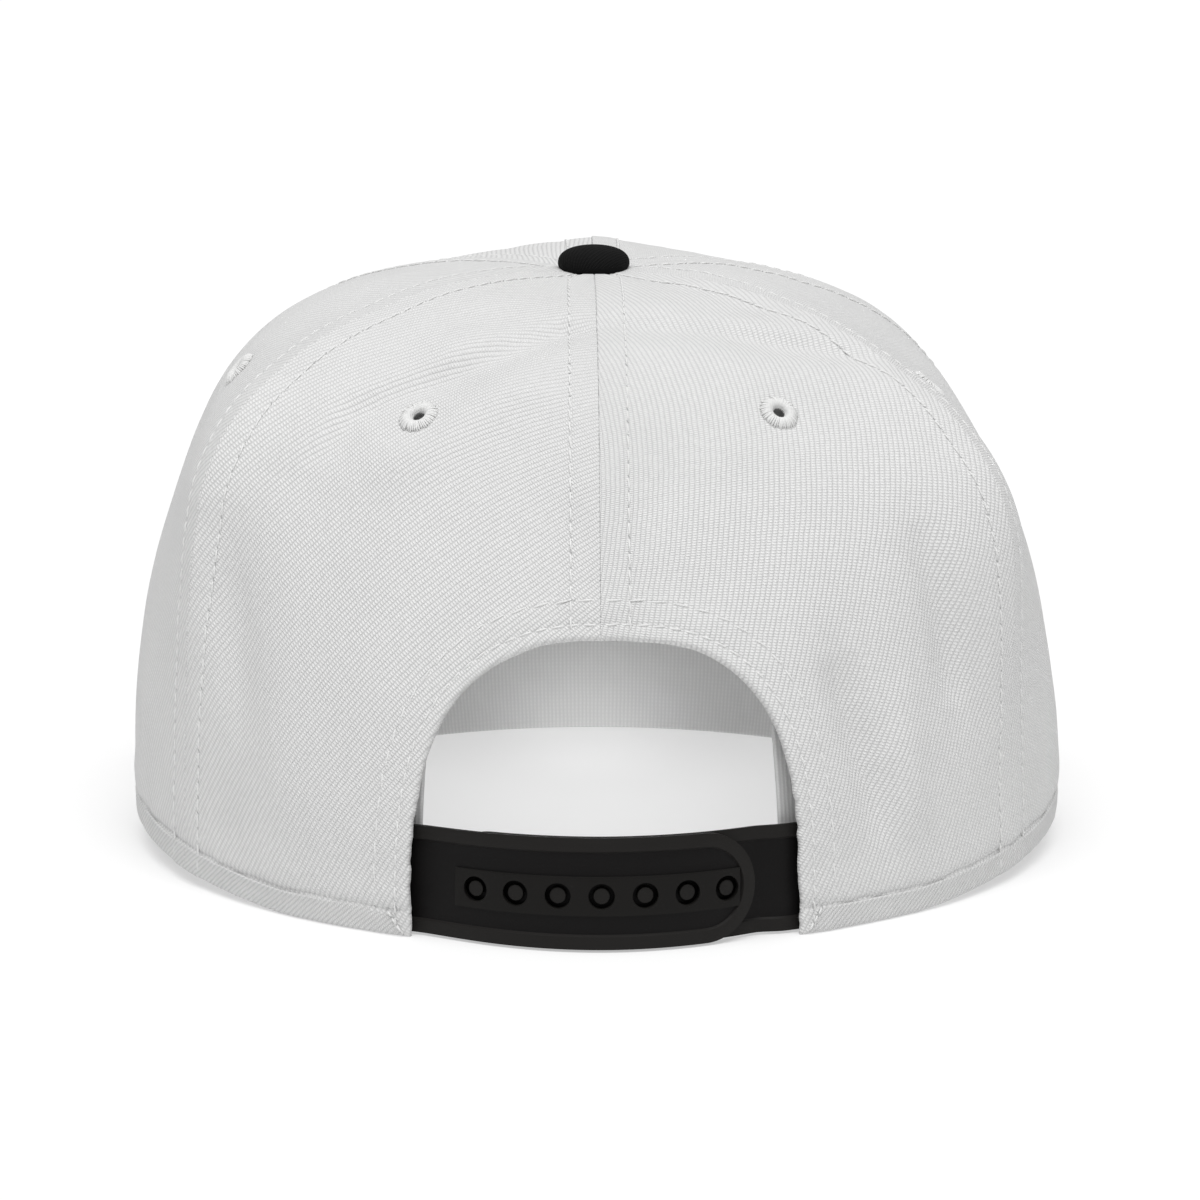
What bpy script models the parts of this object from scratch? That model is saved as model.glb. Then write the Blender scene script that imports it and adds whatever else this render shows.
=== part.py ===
"""Six-panel snapback cap: cloth crown on a sweatband, flat peak, and a two-part plastic snap strap.

Metres, +Z up. The peak points to -Y and the strap is at +Y. The cap rests on its back hem and on the
edge of its peak, at z = 0. Azimuth is measured round the crown from the centre back, in degrees, and
grows towards the wearer's left, +X. Share runs up a panel's arc, from 0 at the hem to 1 at the button.
"""
import math
from collections import namedtuple

import bmesh
import bpy
import numpy as np

for old in list(bpy.data.objects):
    bpy.data.objects.remove(old)

MM = 0.001
DEGREE = math.pi / 180
GAP = 0.3 * MM                      # clearance between pieces that touch on the real cap
CURVED_GAP = 0.55 * MM              # the same under the crown, where curved walls are made of flat facets

# Crown, measured on the outside of the cloth
CROWN_HALF_WIDTH = 88.0 * MM
CROWN_HALF_LENGTH = 99.5 * MM
HEM_SQUARENESS = 1.92               # exponent of the hem's superellipse
CROWN_HEIGHT = 107.5 * MM           # floor to the middle of the top, under the button
FRONT_LIFT = 8.2 * MM               # how far the peak holds the front hem off the floor
REST_AZIMUTH = 38.0                 # the hem lies flat from the arch round to here
PANEL_WALL = 1.8 * MM
PANEL_FLATNESS = 0.5                # 0 is a round section, 1 a straight chord from seam to seam
FLAT_FROM, FLAT_TO = 0.08, 0.48     # shares between which the flatness comes in
RISE_RADIUS = 0.28                  # where the top's extra height peaks, as a share of the hem radius
TOP_HOLE_RADIUS = 3.0 * MM
SEAM_BACK = 57.5                    # azimuth of the seam between back and side panels
SEAM_FRONT = 120.0                  # azimuth of the seam between side and front panels

# How the crown's section changes round the cap. Wall and top are superellipse exponents, and rise is a
# share of the crown's height.
Section = namedtuple("Section", "azimuth wall top rise")
SECTIONS = [
    Section(0, 2.95, 2.20, 0.000),
    Section(30, 3.10, 2.90, 0.000),
    Section(60, 3.15, 3.75, 0.005),
    Section(90, 3.60, 4.00, 0.014),
    Section(120, 3.25, 3.85, 0.013),
    Section(150, 3.60, 3.75, 0.018),
    Section(180, 3.50, 3.30, 0.033),
]

# Soft dents, each an oval on the cloth. Length, width and depth are shares of the crown's height, the
# length lies at lean degrees from the hem's direction, and a negative depth stands proud.
Dent = namedtuple("Dent", "azimuth share length width lean depth")
DENTS = [
    Dent(-87, 0.575, 0.25, 0.270, 0, 0.062),
    Dent(-85, 0.030, 0.90, 0.190, 0, -0.011),
    Dent(-54, 0.390, 0.30, 0.200, 0, -0.042),
    Dent(60, 0.450, 0.18, 0.200, 0, -0.027),
    Dent(4, 0.735, 0.42, 0.055, -4, 0.008),
    Dent(30, 0.600, 0.22, 0.070, 38, 0.007),
    Dent(-31, 0.170, 0.22, 0.090, 80, 0.009),
    Dent(-45, 0.280, 0.20, 0.080, 70, 0.008),
    Dent(48, 0.240, 0.26, 0.090, 82, 0.007),
]

# Arch cut out of the back panels
ARCH_HALF_WIDTH = 34.0 * MM
ARCH_HEIGHT = 53.8 * MM
ARCH_SQUARENESS = 2.9

# Eyelets, embroidered rings with a hole through the cloth
Eyelet = namedtuple("Eyelet", "name azimuth share")
EYELETS = [
    Eyelet("back", 28.7, 0.55),
    Eyelet("side", 76.0, 0.54),
    Eyelet("front", 150.0, 0.55),
]
EYELET_RADIUS = 3.6 * MM
EYELET_HOLE_RADIUS = 1.0 * MM
EYELET_HEIGHT = 0.9 * MM            # how far the ring stands above the cloth
EYELET_COLLAR_RADIUS = 2.2 * MM     # the part that passes through the cloth

# Button on top
BUTTON_RADIUS = 6.8 * MM
BUTTON_HEIGHT = 4.6 * MM
BUTTON_SHANK_RADIUS = 2.2 * MM
BUTTON_SHANK_LENGTH = 4.0 * MM

# Sweatband inside the hem
SWEATBAND_WALL = 1.0 * MM
SWEATBAND_HEIGHT = 36.0 * MM
SWEATBAND_HEM_SETBACK = 2.0 * MM
SWEATBAND_END_SHOWS = 1.8 * MM      # its two ends show inside the arch
SWEATBAND_EASE = 14.0 * MM          # length over which it eases out behind the strap's ends

# Peak
PEAK_LENGTH = 68.0 * MM             # from the front hem to the tip
PEAK_OVERHANG = 1.0 * MM            # the peak is this much wider than the crown, on each side
PEAK_CORNER_REACH = 1.2 * MM        # how far its corners stand out from the hem
PEAK_SPAN = 66.0                    # degrees each side of the front that it is sewn to
PEAK_SQUARENESS = 2.25
PEAK_THICKNESS = 3.0 * MM

# Snap strap, two halves that overlap at the middle of the arch
STRAP_HEIGHT = 18.9 * MM
STRAP_BOW = 5.5 * MM                # how far it bows out at the middle, past the hem's curve
STRAP_FLOOR_CLEARANCE = 1.0 * MM
STRAP_WEB = 1.1 * MM
STRAP_RIM = 0.5 * MM                # the rim and the middle band stand this far off the web
STRAP_RIM_WIDTH = 2.3 * MM
STRAP_BAND_WIDTH = 6.8 * MM
STRAP_BAND_ROOT_MARGIN = 4.0 * MM   # the band runs on past the last holes
STRAP_BAND_TIP_MARGIN = 2.6 * MM
STRAP_BAND_DROP = 0.6 * MM          # band and holes lie below the strap's middle
STRAP_STEP = 0.3 * MM               # slope of each raised edge
PEG_PLATE = 1.2 * MM
STRAP_SEWN_IN = 11.0 * MM           # length of each half behind the cloth
HOLES_TIP_MARGIN = 5.7 * MM         # from the last hole to the round end of that half
PEGS_TIP_MARGIN = 7.3 * MM          # from the last peg to the round end of that half
PEG_COUNT = 7
PEG_PITCH = 7.5 * MM
PEG_RADIUS = 1.4 * MM
PEG_HOLE_RADIUS = 2.1 * MM
PEG_PLATE_EASE = 6.5 * MM           # length over which the peg half eases outwards to its root

# Worked out from the sizes above
PEAK_HALF_WIDTH = CROWN_HALF_WIDTH + PEAK_OVERHANG
STRAP_DEPTH = PANEL_WALL + CURVED_GAP           # outermost face of the strap, below the cloth's outside
PEGS_DEPTH = STRAP_DEPTH + STRAP_RIM + STRAP_WEB + GAP
STRAP_BOW_END = ARCH_HALF_WIDTH                 # the bow has gone where the strap meets the cloth
STRAP_ROOT = ARCH_HALF_WIDTH + STRAP_SEWN_IN    # distances along the strap, from the middle of the arch
PEG_REACH = (PEG_COUNT - 1) / 2 * PEG_PITCH
HOLES_TIP = PEG_REACH + HOLES_TIP_MARGIN
PEGS_TIP = PEG_REACH + PEGS_TIP_MARGIN
CENTRE_Y = (PEAK_LENGTH + STRAP_DEPTH - STRAP_BOW) / 2      # centres the cap, from peak to strap

# Mesh fineness
PANEL_COLUMNS = 10
PANEL_ROWS = 17
BAND_COLUMNS = 48
PEAK_COLUMNS = 24
PEAK_ROWS = 5
PROFILE_SAMPLES = 240


# Materials

def material(name, colour, roughness):
    made = bpy.data.materials.new(name)
    made.use_nodes = True
    shader = made.node_tree.nodes["Principled BSDF"]
    shader.inputs["Base Color"].default_value = (*colour, 1)
    shader.inputs["Roughness"].default_value = roughness
    shader.inputs["Metallic"].default_value = 0.0
    return made


# Crown surface

def between_rows(values, degrees):
    """Smooth curve through a section column, even at the centre back and the centre front."""
    step = SECTIONS[1].azimuth
    position = min(abs(degrees) / step, len(values) - 1.0001)
    index = int(position)
    t = position - index
    row = [values[1], *values, values[-2]][index:index + 4]
    a, b, c, d = row
    return b + 0.5 * t * (c - a + t * (2 * a - 5 * b + 4 * c - d + t * (3 * (b - c) + d - a)))


def hem_radius(degrees):
    side = abs(math.sin(degrees * DEGREE)) / CROWN_HALF_WIDTH
    along = abs(math.cos(degrees * DEGREE)) / CROWN_HALF_LENGTH
    return (side ** HEM_SQUARENESS + along ** HEM_SQUARENESS) ** (-1 / HEM_SQUARENESS)


def hem_lift(degrees):
    flat = math.cos(REST_AZIMUTH * DEGREE)
    t = max(0.0, (flat - math.cos(degrees * DEGREE)) / (flat + 1))
    return FRONT_LIFT * t * (2 - t)


def across_panel(degrees):
    """-1 to 1 from seam to seam across the panel at this azimuth."""
    around = min(abs(degrees), 180.0)
    seams = [0.0, SEAM_BACK, SEAM_FRONT, 180.0]
    low, high = next((a, b) for a, b in zip(seams, seams[1:]) if around <= b)
    return 2 * (around - low) / (high - low) - 1


def dent_depth(degrees, share, radius, arc):
    depth = 0.0
    for dent in DENTS:
        round_way = (degrees - dent.azimuth + 180) % 360 - 180
        u = round_way * DEGREE * radius
        v = (share - dent.share) * arc
        lean = dent.lean * DEGREE
        along = (u * math.cos(lean) + v * math.sin(lean)) / (dent.length * CROWN_HEIGHT)
        across = (v * math.cos(lean) - u * math.sin(lean)) / (dent.width * CROWN_HEIGHT)
        depth += dent.depth * CROWN_HEIGHT * math.exp(-along ** 2 - across ** 2)
    return depth


profiles = {}


def profile(degrees):
    """Radius and height of the crown's outside at this azimuth, evenly spaced along the arc."""
    key = round(abs((degrees + 180) % 360 - 180), 6)
    if key not in profiles:
        wall = between_rows([s.wall for s in SECTIONS], key)
        top = between_rows([s.top for s in SECTIONS], key)
        rise = between_rows([s.rise for s in SECTIONS], key) * CROWN_HEIGHT
        angle = np.linspace(0, math.pi / 2, PROFILE_SAMPLES)
        reach = np.cos(angle).clip(0) ** (2 / wall)
        climb = np.sin(angle) ** (2 / top)
        reach[-1] = 0
        bulge = (reach / RISE_RADIUS) ** 2 * np.exp(2 - 2 * reach / RISE_RADIUS) * (1 - reach ** 4)
        lift = hem_lift(key)
        height = lift + (CROWN_HEIGHT - lift) * climb + rise * bulge
        radius = hem_radius(key) * reach
        steps = np.hypot(np.diff(radius), np.diff(height))
        arc = np.concatenate([[0], np.cumsum(steps)])
        even = np.linspace(0, arc[-1], PROFILE_SAMPLES)
        radius = np.interp(even, arc, radius)
        height = np.interp(even, arc, height)
        share = even / arc[-1]
        ease = ((share - FLAT_FROM) / (FLAT_TO - FLAT_FROM)).clip(0, 1)
        ease = ease * ease * (3 - 2 * ease)
        sag = PANEL_FLATNESS * (1 - math.cos(math.pi / 6)) * (1 - across_panel(key) ** 2)
        profiles[key] = (share, radius * (1 - sag * ease), height, arc[-1])
    return profiles[key]


def crown_point(degrees, share, depth=0.0):
    """A point of the crown, depth below its outside, measured in the plane of its azimuth."""
    shares, radii, heights, arc = profile(degrees)
    step = 1 / PROFILE_SAMPLES
    low, high = max(share - step, 0), min(share + step, 1)
    radius, radius_low, radius_high = np.interp([share, low, high], shares, radii)
    height, height_low, height_high = np.interp([share, low, high], shares, heights)
    run, climb = radius_high - radius_low, height_high - height_low
    if share <= step:
        run = 0.0                   # the wall stands straight up from the hem
    length = math.hypot(run, climb)
    inwards = depth + dent_depth(degrees, share, radius, arc)
    radius -= inwards * climb / length
    height += inwards * run / length
    angle = degrees * DEGREE
    return np.array([radius * math.sin(angle), radius * math.cos(angle), height])


def outward(degrees, share):
    """The crown's true normal at a point."""
    step = 0.5
    round_way = crown_point(degrees + step, share) - crown_point(degrees - step, share)
    up_way = crown_point(degrees, share + 0.01) - crown_point(degrees, share - 0.01)
    normal = np.cross(up_way, round_way)
    return normal / np.linalg.norm(normal)


def share_at_radius(degrees, radius):
    shares, radii, _, _ = profile(degrees)
    return float(np.interp(-radius, -radii, shares))


def share_at_height(degrees, height):
    """Share at a height on the crown's wall, low down where the height still grows with the share."""
    shares, _, heights, _ = profile(degrees)
    wall = len(shares) // 2
    return float(np.interp(height, heights[:wall], shares[:wall]))


def azimuth_at_x(x):
    """Azimuth of the hem where it is this far from the middle."""
    low, high = 0.0, 90.0
    for _ in range(40):
        middle = (low + high) / 2
        if hem_radius(middle) * math.sin(middle * DEGREE) < x:
            low = middle
        else:
            high = middle
    return low


# Mesh building

cap = bpy.data.objects.new("cap", None)


def add_object(name, mesh, surface):
    for polygon in mesh.polygons:
        polygon.use_smooth = True
    mesh.set_sharp_from_angle(angle=40 * DEGREE)
    mesh.materials.append(surface)
    made = bpy.data.objects.new(name, mesh)
    made.parent = cap
    bpy.context.scene.collection.objects.link(made)
    return made


def mesh_of(name, vertices, faces):
    mesh = bpy.data.meshes.new(name)
    mesh.from_pydata([tuple(v) for v in vertices], [], faces)
    shape = bmesh.new()
    shape.from_mesh(mesh)
    bmesh.ops.recalc_face_normals(shape, faces=shape.faces)
    shape.to_mesh(mesh)
    shape.free()
    return mesh


def walled_grid(name, outside, inside):
    """Closed solid between two grids of points with the same rows and columns."""
    rows, columns = len(outside), len(outside[0])
    vertices = [p for row in outside for p in row] + [p for row in inside for p in row]
    half = rows * columns
    faces = []
    for r in range(rows - 1):
        for c in range(columns - 1):
            a = r * columns + c
            quad = (a, a + 1, a + columns + 1, a + columns)
            faces.append(quad)
            faces.append(tuple(half + i for i in reversed(quad)))
    bottom = list(range(columns))
    top = [(rows - 1) * columns + c for c in range(columns)]
    first = [r * columns for r in range(rows)]
    last = [r * columns + columns - 1 for r in range(rows)]
    for edge in (bottom, top, first, last):
        for a, b in zip(edge, edge[1:]):
            faces.append((a, b, half + b, half + a))
    return mesh_of(name, vertices, faces)


def turned(name, profile_points, segments, place):
    """Closed ring or knob: place maps each (radius, height, angle) of the profile into the cap."""
    vertices = []
    faces = []
    count = len(profile_points)
    for s in range(segments):
        angle = 2 * math.pi * s / segments
        vertices.extend(place(radius, height, angle) for radius, height in profile_points)
    for s in range(segments):
        after = (s + 1) % segments
        for k in range(count):
            following = (k + 1) % count
            quad = (s * count + k, after * count + k, after * count + following, s * count + following)
            faces.append(quad)
    mesh = mesh_of(name, vertices, faces)
    shape = bmesh.new()
    shape.from_mesh(mesh)
    bmesh.ops.remove_doubles(shape, verts=shape.verts, dist=1e-6)
    bmesh.ops.dissolve_degenerate(shape, edges=shape.edges, dist=1e-6)
    bmesh.ops.recalc_face_normals(shape, faces=shape.faces)
    shape.to_mesh(mesh)
    shape.free()
    return mesh


def rod(name, base, direction, radius, length, sides):
    """Cylinder from a base point along a direction."""
    direction = direction / np.linalg.norm(direction)
    side = np.cross(direction, [0, 0, 1])
    side = side / np.linalg.norm(side)
    other = np.cross(direction, side)
    vertices = []
    for end in (base, base + direction * length):
        for k in range(sides):
            angle = 2 * math.pi * k / sides
            vertices.append(end + radius * (math.cos(angle) * side + math.sin(angle) * other))
    faces = [tuple(range(sides)), tuple(range(2 * sides - 1, sides - 1, -1))]
    for k in range(sides):
        after = (k + 1) % sides
        faces.append((k, after, sides + after, sides + k))
    return mesh_of(name, vertices, faces)


def combine(target, tool_mesh, operation):
    tool = bpy.data.objects.new("tool_" + tool_mesh.name, tool_mesh)
    tool.parent = cap
    tool.hide_render = True
    tool.display_type = "WIRE"
    bpy.context.scene.collection.objects.link(tool)
    boolean = target.modifiers.new(operation.lower(), "BOOLEAN")
    boolean.operation = operation
    boolean.solver = "EXACT"
    boolean.object = tool


# Crown panels

def panel(name, start, end, surface):
    """One gore between two seams, from the hem to the hole under the button."""
    outside, inside = [], []
    for r in range(PANEL_ROWS + 1):
        outer_row, inner_row = [], []
        for c in range(PANEL_COLUMNS + 1):
            t = c / PANEL_COLUMNS
            middle = start + (end - start) * t
            share = share_at_radius(middle, TOP_HOLE_RADIUS) * r / PANEL_ROWS
            inner_radius = np.hypot(*crown_point(middle, share, PANEL_WALL)[:2])
            trim = GAP / 2 / inner_radius / DEGREE
            degrees = start + trim + (end - start - 2 * trim) * t
            outer_row.append(crown_point(degrees, share))
            inner_row.append(crown_point(degrees, share, PANEL_WALL))
        outside.append(outer_row)
        inside.append(inner_row)
    return add_object(name, walled_grid(name, outside, inside), surface)


def arch_cutter():
    """Prism of the arch's outline that runs through the back wall."""
    outline = [(ARCH_HALF_WIDTH, -ARCH_HEIGHT / 4)]
    steps = 28
    for k in range(steps + 1):
        angle = math.pi * k / steps
        x = abs(math.cos(angle)) ** (2 / ARCH_SQUARENESS)
        z = abs(math.sin(angle)) ** (2 / ARCH_SQUARENESS)
        outline.append((math.copysign(ARCH_HALF_WIDTH * x, math.cos(angle)), ARCH_HEIGHT * z))
    outline.append((-ARCH_HALF_WIDTH, -ARCH_HEIGHT / 4))
    vertices = []
    for y in (CROWN_HALF_LENGTH / 2, CROWN_HALF_LENGTH * 1.5):
        vertices.extend((x, y, z) for x, z in outline)
    count = len(outline)
    faces = [tuple(range(count)), tuple(range(2 * count - 1, count - 1, -1))]
    for k in range(count):
        after = (k + 1) % count
        faces.append((k, after, count + after, count + k))
    return mesh_of("arch", vertices, faces)


def eyelet_frame(eyelet, sign):
    degrees = sign * eyelet.azimuth
    centre = crown_point(degrees, eyelet.share)
    normal = outward(degrees, eyelet.share)
    side = np.cross([0, 0, 1], normal)
    side = side / np.linalg.norm(side)
    return centre, normal, side, np.cross(normal, side)


def cut_eyelet_hole(target, eyelet, sign):
    centre, normal, _, _ = eyelet_frame(eyelet, sign)
    reach = 4 * PANEL_WALL
    hole = EYELET_COLLAR_RADIUS + GAP
    combine(target, rod("eyelet_hole_" + target.name, centre - normal * reach / 2, normal, hole, reach, 16),
            "DIFFERENCE")


def eyelet_ring(name, eyelet, sign, surface):
    """Stitched ring over the cloth, with a collar through it."""
    centre, normal, side, up = eyelet_frame(eyelet, sign)
    seat = GAP + 0.15 * MM          # the cloth curves away under the flat ring
    rim = EYELET_RADIUS - EYELET_HEIGHT / 3
    section = [
        (EYELET_HOLE_RADIUS, -PANEL_WALL),
        (EYELET_COLLAR_RADIUS, -PANEL_WALL),
        (EYELET_COLLAR_RADIUS, seat),
        (EYELET_RADIUS, seat),
        (rim, EYELET_HEIGHT * 0.75),
        ((EYELET_RADIUS + EYELET_HOLE_RADIUS) / 2, EYELET_HEIGHT),
        (EYELET_HOLE_RADIUS * 1.4, EYELET_HEIGHT * 0.75),
    ]

    def place(radius, height, angle):
        return centre + normal * height + radius * (math.cos(angle) * side + math.sin(angle) * up)

    return add_object(name, turned(name, section, 12, place), surface)


def top_button(surface):
    """Cloth-covered button whose underside follows the crown, on a shank through the top hole."""
    def place(radius, height, angle):
        if height is None:
            share = share_at_radius(angle / DEGREE, max(radius, TOP_HOLE_RADIUS))
            height = crown_point(angle / DEGREE, share)[2] + CURVED_GAP
        return np.array([radius * math.sin(angle), radius * math.cos(angle), height])

    top = CROWN_HEIGHT + BUTTON_HEIGHT
    shank_foot = CROWN_HEIGHT - BUTTON_SHANK_LENGTH
    section = [
        (0.0, shank_foot),
        (BUTTON_SHANK_RADIUS, shank_foot),
        (BUTTON_SHANK_RADIUS, None),
        (BUTTON_RADIUS * 0.92, None),
        (BUTTON_RADIUS, CROWN_HEIGHT + BUTTON_HEIGHT * 0.38),
        (BUTTON_RADIUS * 0.93, CROWN_HEIGHT + BUTTON_HEIGHT * 0.62),
        (BUTTON_RADIUS * 0.72, CROWN_HEIGHT + BUTTON_HEIGHT * 0.86),
        (BUTTON_RADIUS * 0.40, top - BUTTON_HEIGHT * 0.03),
        (0.0, top),
    ]
    return add_object("top_button", turned("top_button", section, 24, place), surface)


# Strap and sweatband, which follow the inside of the crown

def plan_azimuth(distance):
    """Azimuth at a distance along the hem from the centre back, signed like X."""
    degrees = np.linspace(0, 90, 181)
    radius = np.array([hem_radius(d) for d in degrees])
    points = np.stack([radius * np.sin(degrees * DEGREE), radius * np.cos(degrees * DEGREE)])
    steps = np.hypot(*np.diff(points))
    travelled = np.concatenate([[0], np.cumsum(steps)])
    return math.copysign(float(np.interp(abs(distance), travelled, degrees)), distance)


def strap_point(distance, depth, z):
    """A point of the strap, which leans in with the crown's wall as it goes up."""
    degrees = plan_azimuth(distance)
    bow = STRAP_BOW * max(0.0, 1 - (distance / STRAP_BOW_END) ** 2) ** 1.5
    x, y, _ = crown_point(degrees, share_at_height(degrees, z), depth - bow)
    return np.array([x, y, z])


def smooth(t):
    t = min(max(t, 0.0), 1.0)
    return t * t * (3 - 2 * t)


STRAP_MIDDLE = STRAP_FLOOR_CLEARANCE + STRAP_HEIGHT / 2
PEG_HEIGHT = STRAP_MIDDLE - STRAP_BAND_DROP
PEG_STATIONS = [k * PEG_PITCH - PEG_REACH for k in range(PEG_COUNT)]
END_ANGLES = [0, 15, 30, 45, 58, 70, 80]


def strap_stations(tip, extra):
    """Distance and half height along a half that starts at its root and ends half round at the tip.

    The columns lie midway between the pegs, so that no edge runs through the middle of a hole.
    """
    half = STRAP_HEIGHT / 2
    straight_end = tip - half
    between_pegs = [(k - PEG_COUNT / 2) * PEG_PITCH for k in range(PEG_COUNT + 1)]
    root = np.linspace(-STRAP_ROOT, between_pegs[0], 6)
    straight = [*root, *between_pegs, *extra, straight_end]
    plain = sorted(set(round(float(d), 7) for d in straight if d <= straight_end))
    stations = [(d, half) for d in plain]
    for angle in END_ANGLES[1:]:
        stations.append((straight_end + half * math.sin(angle * DEGREE), half * math.cos(angle * DEGREE)))
    return stations


def strap_with_holes(surface):
    """Half sewn in on the wearer's left, with a raised rim and a raised band that holds the holes."""
    band_root = -PEG_STATIONS[-1] - STRAP_BAND_ROOT_MARGIN
    band_tip = PEG_STATIONS[-1] + STRAP_BAND_TIP_MARGIN
    stations = strap_stations(HOLES_TIP, [band_root - STRAP_STEP, band_root])
    half = STRAP_HEIGHT / 2
    rim = half - STRAP_RIM_WIDTH
    band_low = -STRAP_BAND_DROP - STRAP_BAND_WIDTH / 2
    band_high = -STRAP_BAND_DROP + STRAP_BAND_WIDTH / 2
    levels = [
        (-half, True, True), (-rim, True, True), (-rim + STRAP_STEP, False, False),
        (band_low - STRAP_STEP, False, False), (band_low, False, True), (band_high, False, True),
        (band_high + STRAP_STEP, False, False), (rim - STRAP_STEP, False, False),
        (rim, True, True), (half, True, True),
    ]
    outside, inside = [], []
    for height, in_rim, in_band in levels:
        outer_row, inner_row = [], []
        for distance, half_here in stations:
            z = STRAP_MIDDLE + height * half_here / half
            on_band = in_band and band_root <= distance <= band_tip
            raised = STRAP_RIM if in_rim or on_band else 0.0
            outer_row.append(strap_point(-distance, STRAP_DEPTH + STRAP_RIM - raised, z))
            inner_row.append(strap_point(-distance, STRAP_DEPTH + STRAP_RIM + STRAP_WEB, z))
        outside.append(outer_row)
        inside.append(inner_row)
    strap = add_object("snap_strap_holes", walled_grid("snap_strap_holes", outside, inside), surface)
    for index, station in enumerate(PEG_STATIONS):
        reach = 4 * (STRAP_RIM + STRAP_WEB)
        base = strap_point(station, STRAP_DEPTH + reach / 2, PEG_HEIGHT)
        outwards = strap_point(station, 0, PEG_HEIGHT) - base
        hole = rod(f"peg_hole_{index + 1}", base, outwards, PEG_HOLE_RADIUS, reach, 16)
        combine(strap, hole, "DIFFERENCE")
    return strap


def pegs_depth(distance):
    """The peg half lies behind the other one, and eases out to the cloth at its own root."""
    past = -distance - (HOLES_TIP + GAP)
    return PEGS_DEPTH + (STRAP_DEPTH - PEGS_DEPTH) * smooth(past / PEG_PLATE_EASE)


def strap_with_pegs(surface):
    """Half sewn in on the wearer's right, a plain plate with pegs that stand in the holes."""
    ease_start = -(HOLES_TIP + GAP)
    ease = [ease_start - PEG_PLATE_EASE * t for t in (0, 0.25, 0.5, 0.75, 1)]
    stations = strap_stations(PEGS_TIP, ease)
    half = STRAP_HEIGHT / 2
    outside, inside = [], []
    for height in np.linspace(-half, half, 3):
        outer_row, inner_row = [], []
        for distance, half_here in stations:
            z = STRAP_MIDDLE + height * half_here / half
            depth = pegs_depth(distance)
            outer_row.append(strap_point(distance, depth, z))
            inner_row.append(strap_point(distance, depth + PEG_PLATE, z))
        outside.append(outer_row)
        inside.append(inner_row)
    strap = add_object("snap_strap_pegs", walled_grid("snap_strap_pegs", outside, inside), surface)
    for index, station in enumerate(PEG_STATIONS):
        base = strap_point(station, PEGS_DEPTH + PEG_PLATE / 2, PEG_HEIGHT)
        tip = strap_point(station, STRAP_DEPTH + GAP, PEG_HEIGHT)
        length = np.linalg.norm(tip - base)
        combine(strap, rod(f"peg_{index + 1}", base, tip - base, PEG_RADIUS, length, 12), "UNION")
    return strap


def sweatband(surface):
    """Band inside the hem, from one side of the arch round the front to the other side."""
    start = azimuth_at_x(ARCH_HALF_WIDTH - SWEATBAND_END_SHOWS)
    root = abs(plan_azimuth(STRAP_ROOT + SWEATBAND_HEM_SETBACK))
    eased = abs(plan_azimuth(STRAP_ROOT + SWEATBAND_HEM_SETBACK + SWEATBAND_EASE))
    near = PANEL_WALL + CURVED_GAP
    behind = PEGS_DEPTH + PEG_PLATE + GAP
    outside, inside = [], []
    for level in (0, 0.5, 1):
        outer_row, inner_row = [], []
        for c in range(BAND_COLUMNS + 1):
            degrees = start + (360 - 2 * start) * c / BAND_COLUMNS
            around = min(degrees, 360 - degrees)
            depth = near + (behind - near) * smooth((eased - around) / (eased - root))
            arc = profile(degrees)[3]
            share = (SWEATBAND_HEM_SETBACK + SWEATBAND_HEIGHT * level) / arc
            signed = degrees if degrees <= 180 else degrees - 360
            outer_row.append(crown_point(signed, share, depth))
            inner_row.append(crown_point(signed, share, depth + SWEATBAND_WALL))
        outside.append(outer_row)
        inside.append(inner_row)
    return add_object("sweatband", walled_grid("sweatband", outside, inside), surface)


# Peak

def peak_edges(t):
    """Inner and outer edge of the peak in plan, for t from -1 at one corner to 1 at the other."""
    inner = crown_point(180 - t * PEAK_SPAN, 0, PANEL_WALL)
    corner = crown_point(180 - PEAK_SPAN, 0)
    tip = -CROWN_HALF_LENGTH - PEAK_LENGTH
    corner_share = (corner[0] + PEAK_CORNER_REACH) / PEAK_HALF_WIDTH
    corner_angle = math.pi - math.asin(corner_share ** (PEAK_SQUARENESS / 2))
    behind = (-math.cos(corner_angle)) ** (2 / PEAK_SQUARENESS)
    widest = (corner[1] + behind * tip) / (1 + behind)
    side = abs(math.sin(t * corner_angle)) ** (2 / PEAK_SQUARENESS)
    ahead = abs(math.cos(t * corner_angle)) ** (2 / PEAK_SQUARENESS)
    ahead = math.copysign(ahead, math.cos(t * corner_angle))
    outer = np.array([math.copysign(PEAK_HALF_WIDTH * side, t), widest + (tip - widest) * ahead])
    return inner[:2], outer


def peak_underside(camber):
    """Height of the underside as a function of x and y, hung from the hem's middle and its corners."""
    tip = -CROWN_HALF_LENGTH - PEAK_LENGTH
    drop = GAP + PEAK_THICKNESS
    front = crown_point(180, 0, PANEL_WALL)
    corner = crown_point(180 - PEAK_SPAN, 0, PANEL_WALL)
    arch_front = camber
    arch_corner = camber * (1 - (corner[0] / PEAK_HALF_WIDTH) ** 2)
    slope = (corner[2] - front[2] - arch_corner + arch_front) / (corner[1] - front[1])
    base = front[2] - drop - arch_front - slope * (front[1] - tip)
    return lambda x, y: base + slope * (y - tip) + camber * (1 - (x / PEAK_HALF_WIDTH) ** 2)


def resting_camber():
    """The camber with which the peak's edge just touches the floor."""
    low, high = 0.0, FRONT_LIFT * 3
    ts = np.linspace(-1, 1, 81)
    for _ in range(40):
        camber = (low + high) / 2
        underside = peak_underside(camber)
        lowest = min(underside(*peak_edges(t)[1]) for t in ts)
        if lowest > 0:
            low = camber
        else:
            high = camber
    return low


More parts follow.
